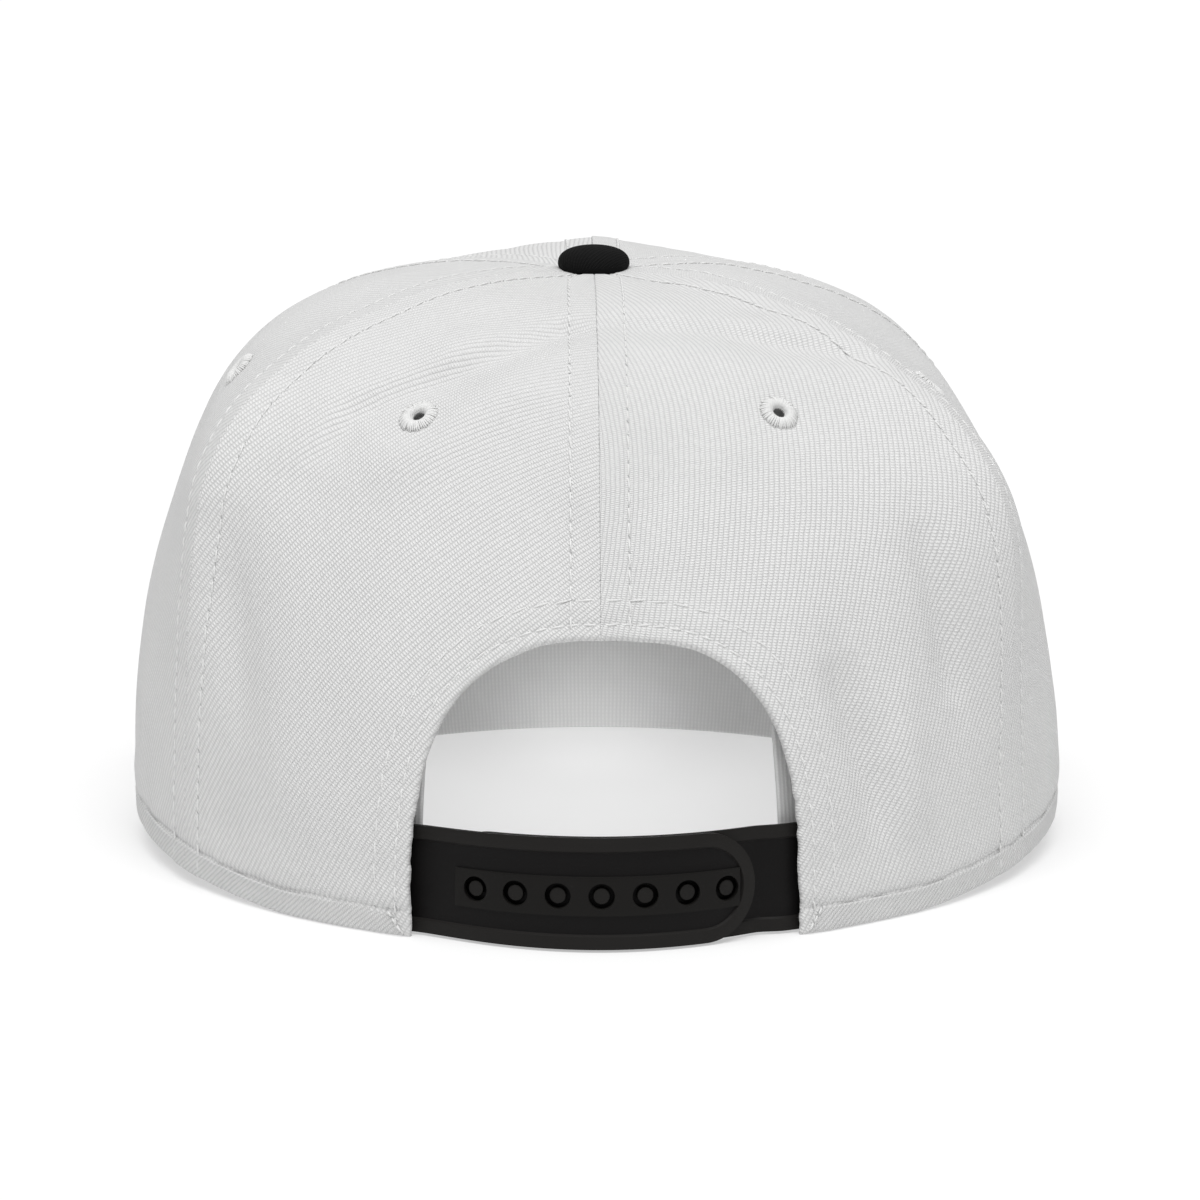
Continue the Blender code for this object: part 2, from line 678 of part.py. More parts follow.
def peak(surface):
    """Stiff board covered in cloth, whose inner edge is sewn under the front hem."""
    underside = peak_underside(resting_camber())
    upper, lower = [], []
    for r in range(PEAK_ROWS + 1):
        upper_row, lower_row = [], []
        for c in range(PEAK_COLUMNS + 1):
            inner, outer = peak_edges(2 * c / PEAK_COLUMNS - 1)
            x, y = inner + (outer - inner) * r / PEAK_ROWS
            z = underside(x, y)
            lower_row.append((x, y, z))
            upper_row.append((x, y, z + PEAK_THICKNESS))
        upper.append(upper_row)
        lower.append(lower_row)
    return add_object("peak", walled_grid("peak", upper, lower), surface)


# Assembly

cap.location = (0, CENTRE_Y, 0)
bpy.context.scene.collection.objects.link(cap)

white_cloth = material("white_cloth", (0.84, 0.84, 0.83), 0.85)
white_thread = material("white_thread", (0.86, 0.86, 0.85), 0.6)
black_cloth = material("black_cloth", (0.012, 0.012, 0.012), 0.85)
black_plastic = material("black_plastic", (0.015, 0.014, 0.013), 0.4)
band_cloth = material("band_cloth", (0.72, 0.72, 0.71), 0.9)

for side_name, sign in (("left", 1), ("right", -1)):
    bounds = {
        "back": (0.0, SEAM_BACK),
        "side": (SEAM_BACK, SEAM_FRONT),
        "front": (SEAM_FRONT, 180.0),
    }
    for eyelet in EYELETS:
        near_seam, far_seam = sorted(sign * b for b in bounds[eyelet.name])
        gore = panel(f"panel_{eyelet.name}_{side_name}", near_seam, far_seam, white_cloth)
        if eyelet.name == "back":
            combine(gore, arch_cutter(), "DIFFERENCE")
        cut_eyelet_hole(gore, eyelet, sign)
        eyelet_ring(f"eyelet_{eyelet.name}_{side_name}", eyelet, sign, white_thread)

top_button(black_cloth)
sweatband(band_cloth)
peak(black_cloth)
strap_with_holes(black_plastic)
strap_with_pegs(black_plastic)
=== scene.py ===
"""Snapback cap in white twill with a black peak, button and snap strap, resting on its hem and peak.

Metres, +Z up, in the CAD model's frame. The strap faces +Y and the peak -Y. The script follows the cap as
it is put together: crown, stitching, eyelets, button, sweatband, peak, strap, then the studio.
"""
import math

import bmesh
import bpy
import numpy as np
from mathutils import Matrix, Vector


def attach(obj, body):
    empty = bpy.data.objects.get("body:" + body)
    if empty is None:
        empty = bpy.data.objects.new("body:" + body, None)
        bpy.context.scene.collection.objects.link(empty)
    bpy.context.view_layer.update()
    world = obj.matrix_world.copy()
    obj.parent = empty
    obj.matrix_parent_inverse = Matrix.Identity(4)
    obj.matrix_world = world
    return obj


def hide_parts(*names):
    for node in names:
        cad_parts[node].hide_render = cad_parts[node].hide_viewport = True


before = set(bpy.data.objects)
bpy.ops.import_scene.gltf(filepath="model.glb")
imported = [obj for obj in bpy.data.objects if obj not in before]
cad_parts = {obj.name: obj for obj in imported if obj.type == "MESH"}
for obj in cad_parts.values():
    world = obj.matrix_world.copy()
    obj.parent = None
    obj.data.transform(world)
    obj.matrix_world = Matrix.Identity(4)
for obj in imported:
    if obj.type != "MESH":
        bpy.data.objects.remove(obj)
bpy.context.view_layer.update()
bpy.ops.object.select_all(action="DESELECT")

MM = 0.001
DEGREE = math.pi / 180


# Crown form
# The crown is a stiffened shell of six gores. Azimuth goes round from the centre back in degrees and grows
# towards +X; share goes up a gore from 0 at the hem to 1 under the button.

CROWN_HALF_WIDTH = 88.0 * MM
CROWN_HALF_LENGTH = 99.5 * MM
HEM_SQUARENESS = 1.92
CROWN_HEIGHT = 107.5 * MM
FRONT_LIFT = 8.2 * MM
REST_AZIMUTH = 38.0
PANEL_WALL = 1.8 * MM
PANEL_FLATNESS = 0.5
FLAT_FROM, FLAT_TO = 0.08, 0.48
RISE_RADIUS = 0.28
TOP_HOLE_RADIUS = 3.0 * MM
CENTRE_Y = 32.425 * MM
GORE_LENGTH = 150 * MM          # about, from the hem to the button
MEAN_RADIUS = 90 * MM           # about, of the hem

# name and azimuths of the gores of one side, then every seam
GORES = (("back", 0.0, 57.5), ("side", 57.5, 120.0), ("front", 120.0, 180.0))
SEAMS = (-120.0, -57.5, 0.0, 57.5, 120.0, 180.0)
SIDES = (("left", 1), ("right", -1))

# wall, top and rise at every 30 degrees
SECTION_WALL = (2.95, 3.10, 3.15, 3.60, 3.25, 3.60, 3.50)
SECTION_TOP = (2.20, 2.90, 3.75, 4.00, 3.85, 3.75, 3.30)
SECTION_RISE = (0.0, 0.0, 0.005, 0.014, 0.013, 0.018, 0.033)

# azimuth, share, length, width, lean and depth of each soft dent, sizes as shares of the crown's height
DENTS = (
    (-87, 0.575, 0.25, 0.270, 0, 0.062),
    (-85, 0.030, 0.90, 0.190, 0, -0.011),
    (-54, 0.390, 0.30, 0.200, 0, -0.042),
    (60, 0.450, 0.18, 0.200, 0, -0.027),
    (4, 0.735, 0.42, 0.055, -4, 0.008),
    (30, 0.600, 0.22, 0.070, 38, 0.007),
    (-31, 0.170, 0.22, 0.090, 80, 0.009),
    (-45, 0.280, 0.20, 0.080, 70, 0.008),
    (48, 0.240, 0.26, 0.090, 82, 0.007),
)

TABLE_STEP = 0.5
TABLE_SHARES = 240


def along_sections(values, azimuth):
    """Smooth curve through the seven section values."""
    position = min(abs(azimuth) / 30, len(values) - 1.0001)
    index = int(position)
    t = position - index
    a, b, c, d = [values[1], *values, values[-2]][index:index + 4]
    return b + 0.5 * t * (c - a + t * (2 * a - 5 * b + 4 * c - d + t * (3 * (b - c) + d - a)))


def hem_radius(azimuth):
    """Radius of the hem, a superellipse as wide and long as the crown."""
    side = np.abs(np.sin(azimuth * DEGREE)) / CROWN_HALF_WIDTH
    along = np.abs(np.cos(azimuth * DEGREE)) / CROWN_HALF_LENGTH
    return (side ** HEM_SQUARENESS + along ** HEM_SQUARENESS) ** (-1 / HEM_SQUARENESS)


def smoothstep(t):
    """0 up to 0, 1 from 1 on, and a soft rise between."""
    t = np.clip(t, 0, 1)
    return t * t * (3 - 2 * t)


def turned_from(azimuth, place=0.0):
    """Degrees from a place round the crown, the short way."""
    return (azimuth - place + 180) % 360 - 180


def walked(*axes):
    """Distance walked to each point of a line, from the line's positions along every axis."""
    return np.concatenate([[0], np.cumsum(np.sqrt(sum(np.diff(axis) ** 2 for axis in axes)))])


def gore_profile(azimuth):
    """Radius, height and arc length of the crown at one azimuth, evenly spaced along the arc."""
    wall = along_sections(SECTION_WALL, azimuth)
    top = along_sections(SECTION_TOP, azimuth)
    rise = along_sections(SECTION_RISE, azimuth) * CROWN_HEIGHT
    angle = np.linspace(0, math.pi / 2, TABLE_SHARES)
    reach = np.cos(angle).clip(0) ** (2 / wall)
    climb = np.sin(angle) ** (2 / top)
    reach[-1] = 0
    bulge = (reach / RISE_RADIUS) ** 2 * np.exp(2 - 2 * reach / RISE_RADIUS) * (1 - reach ** 4)
    flat = math.cos(REST_AZIMUTH * DEGREE)
    t = max(0.0, (flat - math.cos(azimuth * DEGREE)) / (flat + 1))
    lift = FRONT_LIFT * t * (2 - t)
    height = lift + (CROWN_HEIGHT - lift) * climb + rise * bulge
    radius = hem_radius(azimuth) * reach
    arc = walked(radius, height)
    even = np.linspace(0, arc[-1], TABLE_SHARES)
    radius, height = np.interp(even, arc, radius), np.interp(even, arc, height)
    low, high = next((start, end) for _, start, end in GORES if azimuth <= end)
    across = 2 * (azimuth - low) / (high - low) - 1
    sag = PANEL_FLATNESS * (1 - math.cos(math.pi / 6)) * (1 - across ** 2)
    ease = smoothstep((even / arc[-1] - FLAT_FROM) / (FLAT_TO - FLAT_FROM))
    return radius * (1 - sag * ease), height, arc[-1]


profiles = [gore_profile(azimuth) for azimuth in np.arange(0, 180 + TABLE_STEP, TABLE_STEP)]
RADIUS_TABLE = np.array([p[0] for p in profiles])
HEIGHT_TABLE = np.array([p[1] for p in profiles])
ARC_TABLE = np.array([p[2] for p in profiles])[:, None] * np.ones(TABLE_SHARES)
RUN_TABLE = np.gradient(RADIUS_TABLE, axis=1)
CLIMB_TABLE = np.gradient(HEIGHT_TABLE, axis=1)
RUN_TABLE[:, :2] = 0


def read_table(table, azimuth, share):
    """Value of a table at any azimuth and share, both sides being alike."""
    turn = np.abs(turned_from(azimuth)) / TABLE_STEP
    up = np.clip(share, 0, 1) * (TABLE_SHARES - 1)
    row = np.minimum(turn.astype(int), len(table) - 2)
    column = np.minimum(up.astype(int), TABLE_SHARES - 2)
    a, b = turn - row, up - column
    low = table[row, column] * (1 - b) + table[row, column + 1] * b
    high = table[row + 1, column] * (1 - b) + table[row + 1, column + 1] * b
    return low * (1 - a) + high * a


def crown(azimuth, share, depth=0.0):
    """Points of the crown, depth below its outside, in the plane of each azimuth."""
    azimuth, share, depth = np.broadcast_arrays(*(np.asarray(v, float) for v in (azimuth, share, depth)))
    radius = read_table(RADIUS_TABLE, azimuth, share)
    height = read_table(HEIGHT_TABLE, azimuth, share)
    arc = read_table(ARC_TABLE, azimuth, share)
    run = read_table(RUN_TABLE, azimuth, share)
    climb = read_table(CLIMB_TABLE, azimuth, share)
    length = np.hypot(run, climb)
    inwards = depth.copy()
    for place, level, long, wide, lean, deep in DENTS:
        u = turned_from(azimuth, place) * DEGREE * radius
        v = (share - level) * arc
        c, s = math.cos(lean * DEGREE), math.sin(lean * DEGREE)
        along = (u * c + v * s) / (long * CROWN_HEIGHT)
        across = (v * c - u * s) / (wide * CROWN_HEIGHT)
        inwards = inwards + deep * CROWN_HEIGHT * np.exp(-along ** 2 - across ** 2)
    radius = radius - inwards * climb / length
    height = height + inwards * run / length
    angle = azimuth * DEGREE
    return np.stack([radius * np.sin(angle), radius * np.cos(angle) + CENTRE_Y, height], axis=-1)


def share_at_radius(azimuth, radius):
    """How far up the gore the crown has narrowed to a radius."""
    row = RADIUS_TABLE[int(round(abs(turned_from(azimuth)) / TABLE_STEP))]
    return float(np.interp(-radius, -row, np.linspace(0, 1, TABLE_SHARES)))


# Arch
# The opening over the strap is cut through both back gores. Its edge is turned under and sewn down, and the
# outline is kept here as azimuth and share along one side, from the hem up to the centre seam.

ARCH_HALF_WIDTH = 34.0 * MM
ARCH_HEIGHT = 53.3 * MM
ARCH_POINTS = 400
# half width of each side, and how square the outline is at the side and at the top
ARCH_SIDES = {1: (33.7 * MM, 2.15, 3.46), -1: (35.4 * MM, 2.60, 3.32)}


def arch_outline(sign):
    """Azimuth and share along the arch's edge on one side, and its length."""
    half_width, side_power, top_power = ARCH_SIDES[sign]
    turn = np.linspace(0, math.pi / 2, 4000)
    x = half_width * np.cos(turn).clip(0) ** (2 / side_power)
    z = ARCH_HEIGHT * np.sin(turn) ** (2 / top_power)
    walk = walked(x, z)
    even = np.linspace(0, walk[-1], ARCH_POINTS)
    x, z = np.interp(even, walk, x), np.interp(even, walk, z)
    azimuth = sign * np.degrees(np.arcsin(x / CROWN_HALF_LENGTH))
    share = z / GORE_LENGTH
    for _ in range(30):
        point = crown(azimuth, share)
        radius = np.hypot(point[:, 0], point[:, 1] - CENTRE_Y)
        azimuth = sign * np.degrees(np.arcsin(np.clip(x / radius, 0, 1)))
        share = share + (z - point[:, 2]) / GORE_LENGTH
    return azimuth, np.clip(share, 0, 1), walk[-1]


arch_sides = {sign: arch_outline(sign) for _, sign in SIDES}


# Cloth surface
# White cotton-look twill, fused to a stiff backing. The seams lie in narrow grooves with raised allowances
# each side, the topstitching draws the cloth in, and the edges are turned under in round folds.

SEAM_ROW = 5.2 * MM             # topstitching, from the seam
ARCH_ROWS = (2.7 * MM, 7.0 * MM)
HEM_FOLD = 4.6 * MM
EDGE_RADIUS = PANEL_WALL / 2
SEAM_MEET = 0.28 * MM           # how deep under the face two gores meet
FAR_OFF = 1.0                   # a distance where no edge is near

# how far the allowance stands up, its stitching sinks and the cloth puckers, at a seam and round the arch
SEAM_PROUD, SEAM_SINK, SEAM_PUCKER = 0.26 * MM, 0.17 * MM, 0.11 * MM
ARCH_PROUD, ARCH_SINK, ARCH_PUCKER = 0.24 * MM, 0.15 * MM, 0.12 * MM
HEM_GROOVE, HEM_SWELL, HEM_WAVE = 0.42 * MM, 0.20 * MM, 0.14 * MM
EYELET_SINK, EYELET_SINK_WIDTH = 0.22 * MM, 4.6 * MM
EYELET_FIRM, EYELET_FIRM_WIDTH = 0.8, 8 * MM

# size, height and seed of the waves that all the cloth has
SOFT_WAVES = ((34 * MM, 0.34 * MM, 7), (15 * MM, 0.15 * MM, 8), (5 * MM, 0.045 * MM, 9))

# name, azimuth and share of the eyelets of one side
EYELET_PLACES = (("back", 28.7, 0.55), ("side", 76.0, 0.54), ("front", 150.0, 0.55))


def ripple(across, along, size, seed):
    """Smooth random waves between -1 and 1, about size apart."""
    lattice = np.random.default_rng(seed).uniform(-1, 1, (97, 97))
    x, y = across / size + 500, along / size + 500
    i, j = np.floor(x).astype(int), np.floor(y).astype(int)
    a, b = smoothstep(x - i), smoothstep(y - j)
    low = lattice[i % 97, j % 97] * (1 - a) + lattice[(i + 1) % 97, j % 97] * a
    high = lattice[i % 97, (j + 1) % 97] * (1 - a) + lattice[(i + 1) % 97, (j + 1) % 97] * a
    return low * (1 - b) + high * b


def bump_at(distance, width):
    """1 at no distance, falling softly to nothing at about twice the width."""
    return np.exp(-(distance / width) ** 2)


def seam_distance(azimuth, radius):
    """Distance to the nearest seam, and which one it is."""
    every = [np.abs(turned_from(azimuth, seam)) * DEGREE * radius for seam in SEAMS]
    return np.min(every, axis=0), np.argmin(every, axis=0)


def seam_row(radius):
    """The two rows beside a seam draw together where the gores get narrow, under the button."""
    return np.minimum(SEAM_ROW, 0.42 * radius)


# soft creases and ridges from handling: azimuth and share along each, then its width above, its width below
# and its depth in millimetres
CREASES = (
    (((43, 0.46), (40, 0.545), (31.5, 0.595), (22.5, 0.655), (8, 0.735), (1, 0.75)), 3.1, 6.0, 2.5),
    (((34, 0.465), (28, 0.502), (22, 0.552), (8, 0.635)), 4.5, 5.5, -1.5),
    (((-6, 0.75), (-31, 0.704), (-47, 0.654), (-57, 0.595)), 3.2, 8.0, 2.4),
    (((-36, 0.62), (-49, 0.585), (-57, 0.52)), 6.0, 6.0, -0.9),
    (((-27.5, 0.285), (-28.5, 0.243), (-31, 0.156), (-33.4, 0.075)), 3.8, 3.8, 2.5),
    (((-36.5, 0.26), (-36.8, 0.16), (-37.6, 0.08)), 4.2, 4.2, -1.1),
    (((-43, 0.41), (-45, 0.30), (-46.5, 0.20)), 4.0, 4.0, 2.3),
    (((-52.5, 0.32), (-54, 0.14)), 3.6, 3.6, -1.0),
    (((55, 0.42), (50, 0.30), (44, 0.16)), 6.0, 6.0, 1.3),
)


def crease_depth(azimuth, share, radius, arc):
    """Depth of all the creases, each of which fades towards its two ends."""
    total = np.zeros(np.shape(azimuth))
    for points, above, below, deep in CREASES:
        best = np.full(np.shape(azimuth), FAR_OFF)
        signed = np.zeros(np.shape(azimuth))
        travel = np.zeros(np.shape(azimuth))
        for index, (first, last) in enumerate(zip(points[:-1], points[1:])):
            du, dv = (last[0] - first[0]) * DEGREE * radius, (last[1] - first[1]) * arc
            pu, pv = (azimuth - first[0]) * DEGREE * radius, (share - first[1]) * arc
            t = np.clip((pu * du + pv * dv) / (du * du + dv * dv), 0, 1)
            gap = np.hypot(pu - t * du, pv - t * dv)
            nearer = gap < best
            best = np.where(nearer, gap, best)
            signed = np.where(nearer, pv - t * dv, signed)
            travel = np.where(nearer, (index + t) / (len(points) - 1), travel)
        width = np.where(signed > 0, above, below) * MM
        fade = np.sin(np.clip(travel, 0.02, 0.98) * math.pi) ** 0.6
        total = total + deep * MM * fade * bump_at(best, width)
    return total


def seam_relief(azimuth, up, radius):
    """The allowance beside a seam, with the topstitching that draws the cloth in and puckers it."""
    seam, which = seam_distance(azimuth, radius)
    row = seam_row(radius)
    raised = SEAM_PROUD * (1 - smoothstep((seam - row + 0.3 * MM) / (1.3 * MM)))
    raised = raised - SEAM_SINK * bump_at(seam - row, 0.42 * MM)
    pucker = ripple(up + which * 37 * MM, seam * 0.35, 6.5 * MM, 3)
    pucker = pucker + 0.6 * ripple(up, seam * 0.3, 3.4 * MM, 4)
    return raised + SEAM_PUCKER * pucker * bump_at(seam - 0.9 * row, 5.5 * MM)


def hem_relief(round_way, up):
    """The groove where the hem is turned up, the swell above it and small waves along it."""
    groove = HEM_FOLD + 0.35 * MM + 0.25 * MM * ripple(round_way, 0 * up, 3.1 * MM, 11)
    wave = HEM_WAVE * ripple(round_way, up * 0.4, 6 * MM, 5) * bump_at(up - HEM_FOLD - 1.5 * MM, 3 * MM)
    return wave + HEM_SWELL * bump_at(up - 7.5 * MM, 2.6 * MM) - HEM_GROOVE * bump_at(up - groove, 0.42 * MM)


def arch_relief(azimuth, up, arch):
    """The allowance turned under round the arch, its two rows of stitching and the puckers along them."""
    raised = ARCH_PROUD * (1 - smoothstep((arch - ARCH_ROWS[1]) / (2.2 * MM)))
    for row in ARCH_ROWS:
        raised = raised - ARCH_SINK * bump_at(arch - row, 0.45 * MM)
    pucker = ripple(up * 1.1 + azimuth * 0.5 * MM, arch * 0.3, 5.5 * MM, 6)
    return raised + ARCH_PUCKER * pucker * bump_at(arch - 5 * MM, 5 * MM)


def relief(azimuth, share, arch):
    """How far the finished cloth stands above the plain form, at a distance from the arch's edge."""
    radius = read_table(RADIUS_TABLE, azimuth, share)
    arc = read_table(ARC_TABLE, azimuth, share)
    up = share * arc
    round_way = azimuth * DEGREE * MEAN_RADIUS
    soft = sum(high * ripple(round_way, up, size, seed) for size, high, seed in SOFT_WAVES)
    raised = soft * smoothstep(up / (8 * MM)) * smoothstep((radius - 6 * MM) / (12 * MM))
    raised = raised + seam_relief(azimuth, up, radius) + hem_relief(round_way, up)
    raised = raised + arch_relief(azimuth, up, arch)
    creases = crease_depth(azimuth, share, radius, arc)
    for _, place, level in EYELET_PLACES:
        for _, sign in SIDES:
            from_eyelet = np.hypot((azimuth - sign * place) * DEGREE * radius, (share - level) * arc)
            raised = raised - EYELET_SINK * bump_at(from_eyelet, EYELET_SINK_WIDTH)
            creases = creases * (1 - EYELET_FIRM * bump_at(from_eyelet, EYELET_FIRM_WIDTH))
    return raised - creases


def fold_away(distance, radius, drop):
    """Depth of a round fold, from drop at the edge to nothing at radius."""
    t = np.clip(1 - distance / radius, 0, 1)
    return drop * (1 - np.sqrt(np.clip(1 - t * t, 0, 1)))


def edge_depths(azimuth, share, arch_distance):
    """Depth of the face and of the back of the cloth, which meet along every edge."""
    radius = read_table(RADIUS_TABLE, azimuth, share)
    arc = read_table(ARC_TABLE, azimuth, share)
    seam, _ = seam_distance(azimuth, radius)
    hem = share * arc
    top = np.clip(radius - TOP_HOLE_RADIUS, 0, None)
    face = fold_away(seam, 0.32 * MM, SEAM_MEET)
    back = fold_away(seam, 0.8 * MM, PANEL_WALL - SEAM_MEET)
    for edge in (hem, arch_distance, top):
        rounded = fold_away(edge, EDGE_RADIUS, EDGE_RADIUS)
        face, back = np.maximum(face, rounded), np.maximum(back, rounded)
    return face, np.maximum(PANEL_WALL - back, face)


def cloth_uv(azimuth, share, grain):
    """Metres of flat cloth, laid out from the meridian that the grain follows."""
    radius = read_table(RADIUS_TABLE, azimuth, share)
    up = share * read_table(ARC_TABLE, azimuth, share)
    run, climb = read_table(RUN_TABLE, azimuth, share), read_table(CLIMB_TABLE, azimuth, share)
    cone = np.clip(-run / np.hypot(run, climb), 0.002, 1)
    turned = cone * (azimuth - grain) * DEGREE
    return np.stack([-radius / cone * np.sin(turned), up + radius / cone * (1 - np.cos(turned))], axis=-1)


# Shells of cloth
# Every cloth piece is a grid for its face and a copy for its back, joined round the edges and round any hole,
# as cloth that is turned under is.

def grid_shell(name, face, back, uv, kept=None):
    """Closed shell from two equal arrays of points, rows by columns; cells that aren't kept are left open."""
    rows, columns = face.shape[0] - 1, face.shape[1] - 1
    bpy.ops.object.select_all(action="DESELECT")
    bpy.ops.mesh.primitive_grid_add(x_subdivisions=columns, y_subdivisions=rows, size=1)
    shell = bpy.context.object
    shell.name = shell.data.name = name
    bpy.ops.object.mode_set(mode="EDIT")
    bpy.ops.mesh.select_all(action="SELECT")
    bpy.ops.mesh.duplicate()
    bpy.ops.mesh.flip_normals()
    bpy.ops.object.mode_set(mode="OBJECT")
    mesh = shell.data
    flat = np.empty(len(mesh.vertices) * 3)
    mesh.vertices.foreach_get("co", flat)
    flat = flat.reshape(-1, 3)
    column = np.rint((flat[:, 0] + 0.5) * columns).astype(int)
    row = np.rint((flat[:, 1] + 0.5) * rows).astype(int)
    half = len(flat) // 2
    placed = np.where((np.arange(len(flat)) < half)[:, None], face[row, column], back[row, column])
    mesh.vertices.foreach_set("co", placed.ravel())
    corner = np.empty(len(mesh.loops), int)
    mesh.loops.foreach_get("vertex_index", corner)
    mesh.uv_layers[0].data.foreach_set("uv", uv[row[corner], column[corner]].ravel())

    work = bmesh.new()
    work.from_mesh(mesh)
    work.verts.ensure_lookup_table()
    if kept is not None:
        gone = []
        for cell in work.faces:
            r = min(row[v.index] for v in cell.verts)
            c = min(column[v.index] for v in cell.verts)
            if not kept[r, c]:
                gone.append(cell)
        bmesh.ops.delete(work, geom=gone, context="FACES_ONLY")
        for edge in [e for e in work.edges if not e.link_faces]:
            work.edges.remove(edge)
        partner = {v.index: v for v in work.verts}
        layer = work.loops.layers.uv.active
        for edge in [e for e in work.edges if len(e.link_faces) == 1 and e.verts[0].index < half]:
            a, b = edge.verts
            if edge.link_loops[0].vert != a:
                a, b = b, a
            wall = work.faces.new((b, a, partner[a.index + half], partner[b.index + half]))
            for loop in wall.loops:
                source = loop.vert.index
                loop[layer].uv = uv[row[source], column[source]]
        for vertex in [v for v in work.verts if not v.link_faces]:
            work.verts.remove(vertex)
    bmesh.ops.remove_doubles(work, verts=work.verts, dist=2e-6)
    bmesh.ops.dissolve_degenerate(work, dist=1e-7, edges=work.edges)
    bmesh.ops.recalc_face_normals(work, faces=work.faces)
    work.to_mesh(mesh)
    work.free()
    mesh.update()
    bpy.ops.object.shade_smooth()
    return shell


def graded(length, low, high, count):
    """Positions from 0 to length, fine at both ends and count even steps between, all for many lengths."""
    length = np.asarray(length, float)[..., None]
    low, high = np.asarray(low) * MM, np.asarray(high) * MM
    scale = np.minimum(1, length / (1.3 * (low[-1] + high[-1])))
    start, end = low[-1] * scale, length - high[-1] * scale
    middle = start + (end - start) * (np.arange(1, count) / count)
    return np.concatenate([low * scale, middle, length - high[::-1] * scale], axis=-1)


# positions in millimetres where the grids are fine, beside a seam, a turned edge and the top hole
SEAM_STEPS = (0, .07, .15, .24, .35, .5, .75, 1.1, 1.6, 2.3, 3.1, 3.9, 4.5, 4.85, 5.05, 5.2, 5.35, 5.6, 6.0,
              6.6, 7.4)
EDGE_STEPS = (0, .05, .12, .22, .35, .5, .7, .95, 1.3, 1.8, 2.4, 3.1, 3.8, 4.2, 4.45, 4.6, 4.8, 5.1, 5.7,
              6.6, 7.8)
TOP_STEPS = (0, .3, .7, 1.2, 2.0, 3.0)


# Node maths
# A socket that can be added, multiplied and so on, so that a material's values read as plain expressions.

class Signal:
    def __init__(self, tree, socket):
        self.tree, self.socket = tree, socket

    def call(self, operation, second=0.0):
        """This value put through one step of maths."""
        return add_node(self.tree, "ShaderNodeMath", {"operation": operation}, i0=self, i1=second)

    def __add__(self, other):
        return self.call("ADD", other)

    def __sub__(self, other):
        return self.call("SUBTRACT", other)

    def __mul__(self, other):
        return self.call("MULTIPLY", other)

    def __truediv__(self, other):
        return self.call("DIVIDE", other)

    def __pow__(self, other):
        return self.call("POWER", other)


def add_node(tree, kind, settings=None, output=0, **inputs):
    """Any node: its settings first, then values or links by socket name or, as i0, i1, by number."""
    node = tree.nodes.new(kind)
    for key, value in (settings or {}).items():
        setattr(node, key, value)
    for key, value in inputs.items():
        index = int(key[1:]) if key[0] == "i" and key[1:].isdigit() else key.replace("_", " ")
        if isinstance(value, Signal):
            tree.links.new(value.socket, node.inputs[index])
        else:
            node.inputs[index].default_value = value
    return Signal(tree, node.outputs[output])


def noise(tree, place, scale, detail, dimensions="2D"):
    """Cloudy noise between 0 and 1."""
    return add_node(tree, "ShaderNodeTexNoise", {"noise_dimensions": dimensions}, Vector=place, Scale=scale,
                    Detail=detail)


def blend(tree, share, dark, light):
    """The colour that lies a share of the way from dark to light."""
    return add_node(tree, "ShaderNodeMix", {"data_type": "RGBA", "clamp_factor": True}, output=2,
                    i0=share, i6=(*dark, 1), i7=(*light, 1))


def bump(tree, strength, distance, height):
    """Surface direction for a fine height."""
    return add_node(tree, "ShaderNodeBump", Strength=strength, Distance=distance, Height=height)


def flat_layout(tree):
    """The flat layout of a cloth in metres, whole and as its two directions."""
    place = add_node(tree, "ShaderNodeUVMap")
    across = add_node(tree, "ShaderNodeSeparateXYZ", i0=place)
    return place, across, Signal(tree, across.socket.node.outputs[1])


def new_material(name):
    """An empty material with its tree and its shader."""
    made = bpy.data.materials.new(name)
    made.use_nodes = True
    tree = made.node_tree
    return made, tree, tree.nodes["Principled BSDF"]


def feed(tree, shader, **inputs):
    """Set or link inputs of the shader, by their names with underscores."""
    for key, value in inputs.items():
        socket = shader.inputs[key.replace("_", " ")]
        if isinstance(value, Signal):
            tree.links.new(value.socket, socket)
        else:
            socket.default_value = value


TWILL_LEAN = 33 * DEGREE


def twill(name, light, dark, pitch, nub, depth, roughness, mottle, gloss, sheen):
    """Woven twill: slanting ribs made of short floats, drawn from the cloth's own flat layout."""
    made, tree, shader = new_material(name)
    place, u, v = flat_layout(tree)
    sway = noise(tree, place, 260.0, 2.0)
    drift = noise(tree, place, 34.0, 1.0)
    c, s = math.cos(TWILL_LEAN), math.sin(TWILL_LEAN)
    across = u * c - v * s + (sway - 0.5) * 0.00032 + (drift - 0.5) * 0.0009
    along = u * s + v * c + (sway - 0.5) * 0.0002
    rib = across / pitch
    number = rib.call("FLOOR")
    ridge = ((rib - number) * math.pi).call("SINE") ** 0.75
    step = along / nub - number * 0.33
    float_end = ((step * (2 * math.pi)).call("SINE") * 0.5 + 0.5) ** 1.3 * ridge
    height = ridge * 0.42 + float_end * 0.62 + noise(tree, place, 900.0, 2.0) * 0.30
    # the colour follows the weave's height: painted shade in the grooves between ribs and floats, plus random
    # mottle
    groove_shade_and_mottle = height * 0.80 + (noise(tree, place, 60.0, 3.0) - 0.5) * mottle
    feed(tree, shader, Base_Color=blend(tree, groove_shade_and_mottle, dark, light), Roughness=roughness,
         Normal=bump(tree, 1.0, depth, height), Specular_IOR_Level=gloss, Sheen_Weight=sheen,
         Sheen_Roughness=0.5)
    return made


# Crown gores
# Each gore is cut from white twill and folded at every edge. The two back ones stop short of the arch, where
# their turned edge is a strip of its own that wraps the raw cloth.

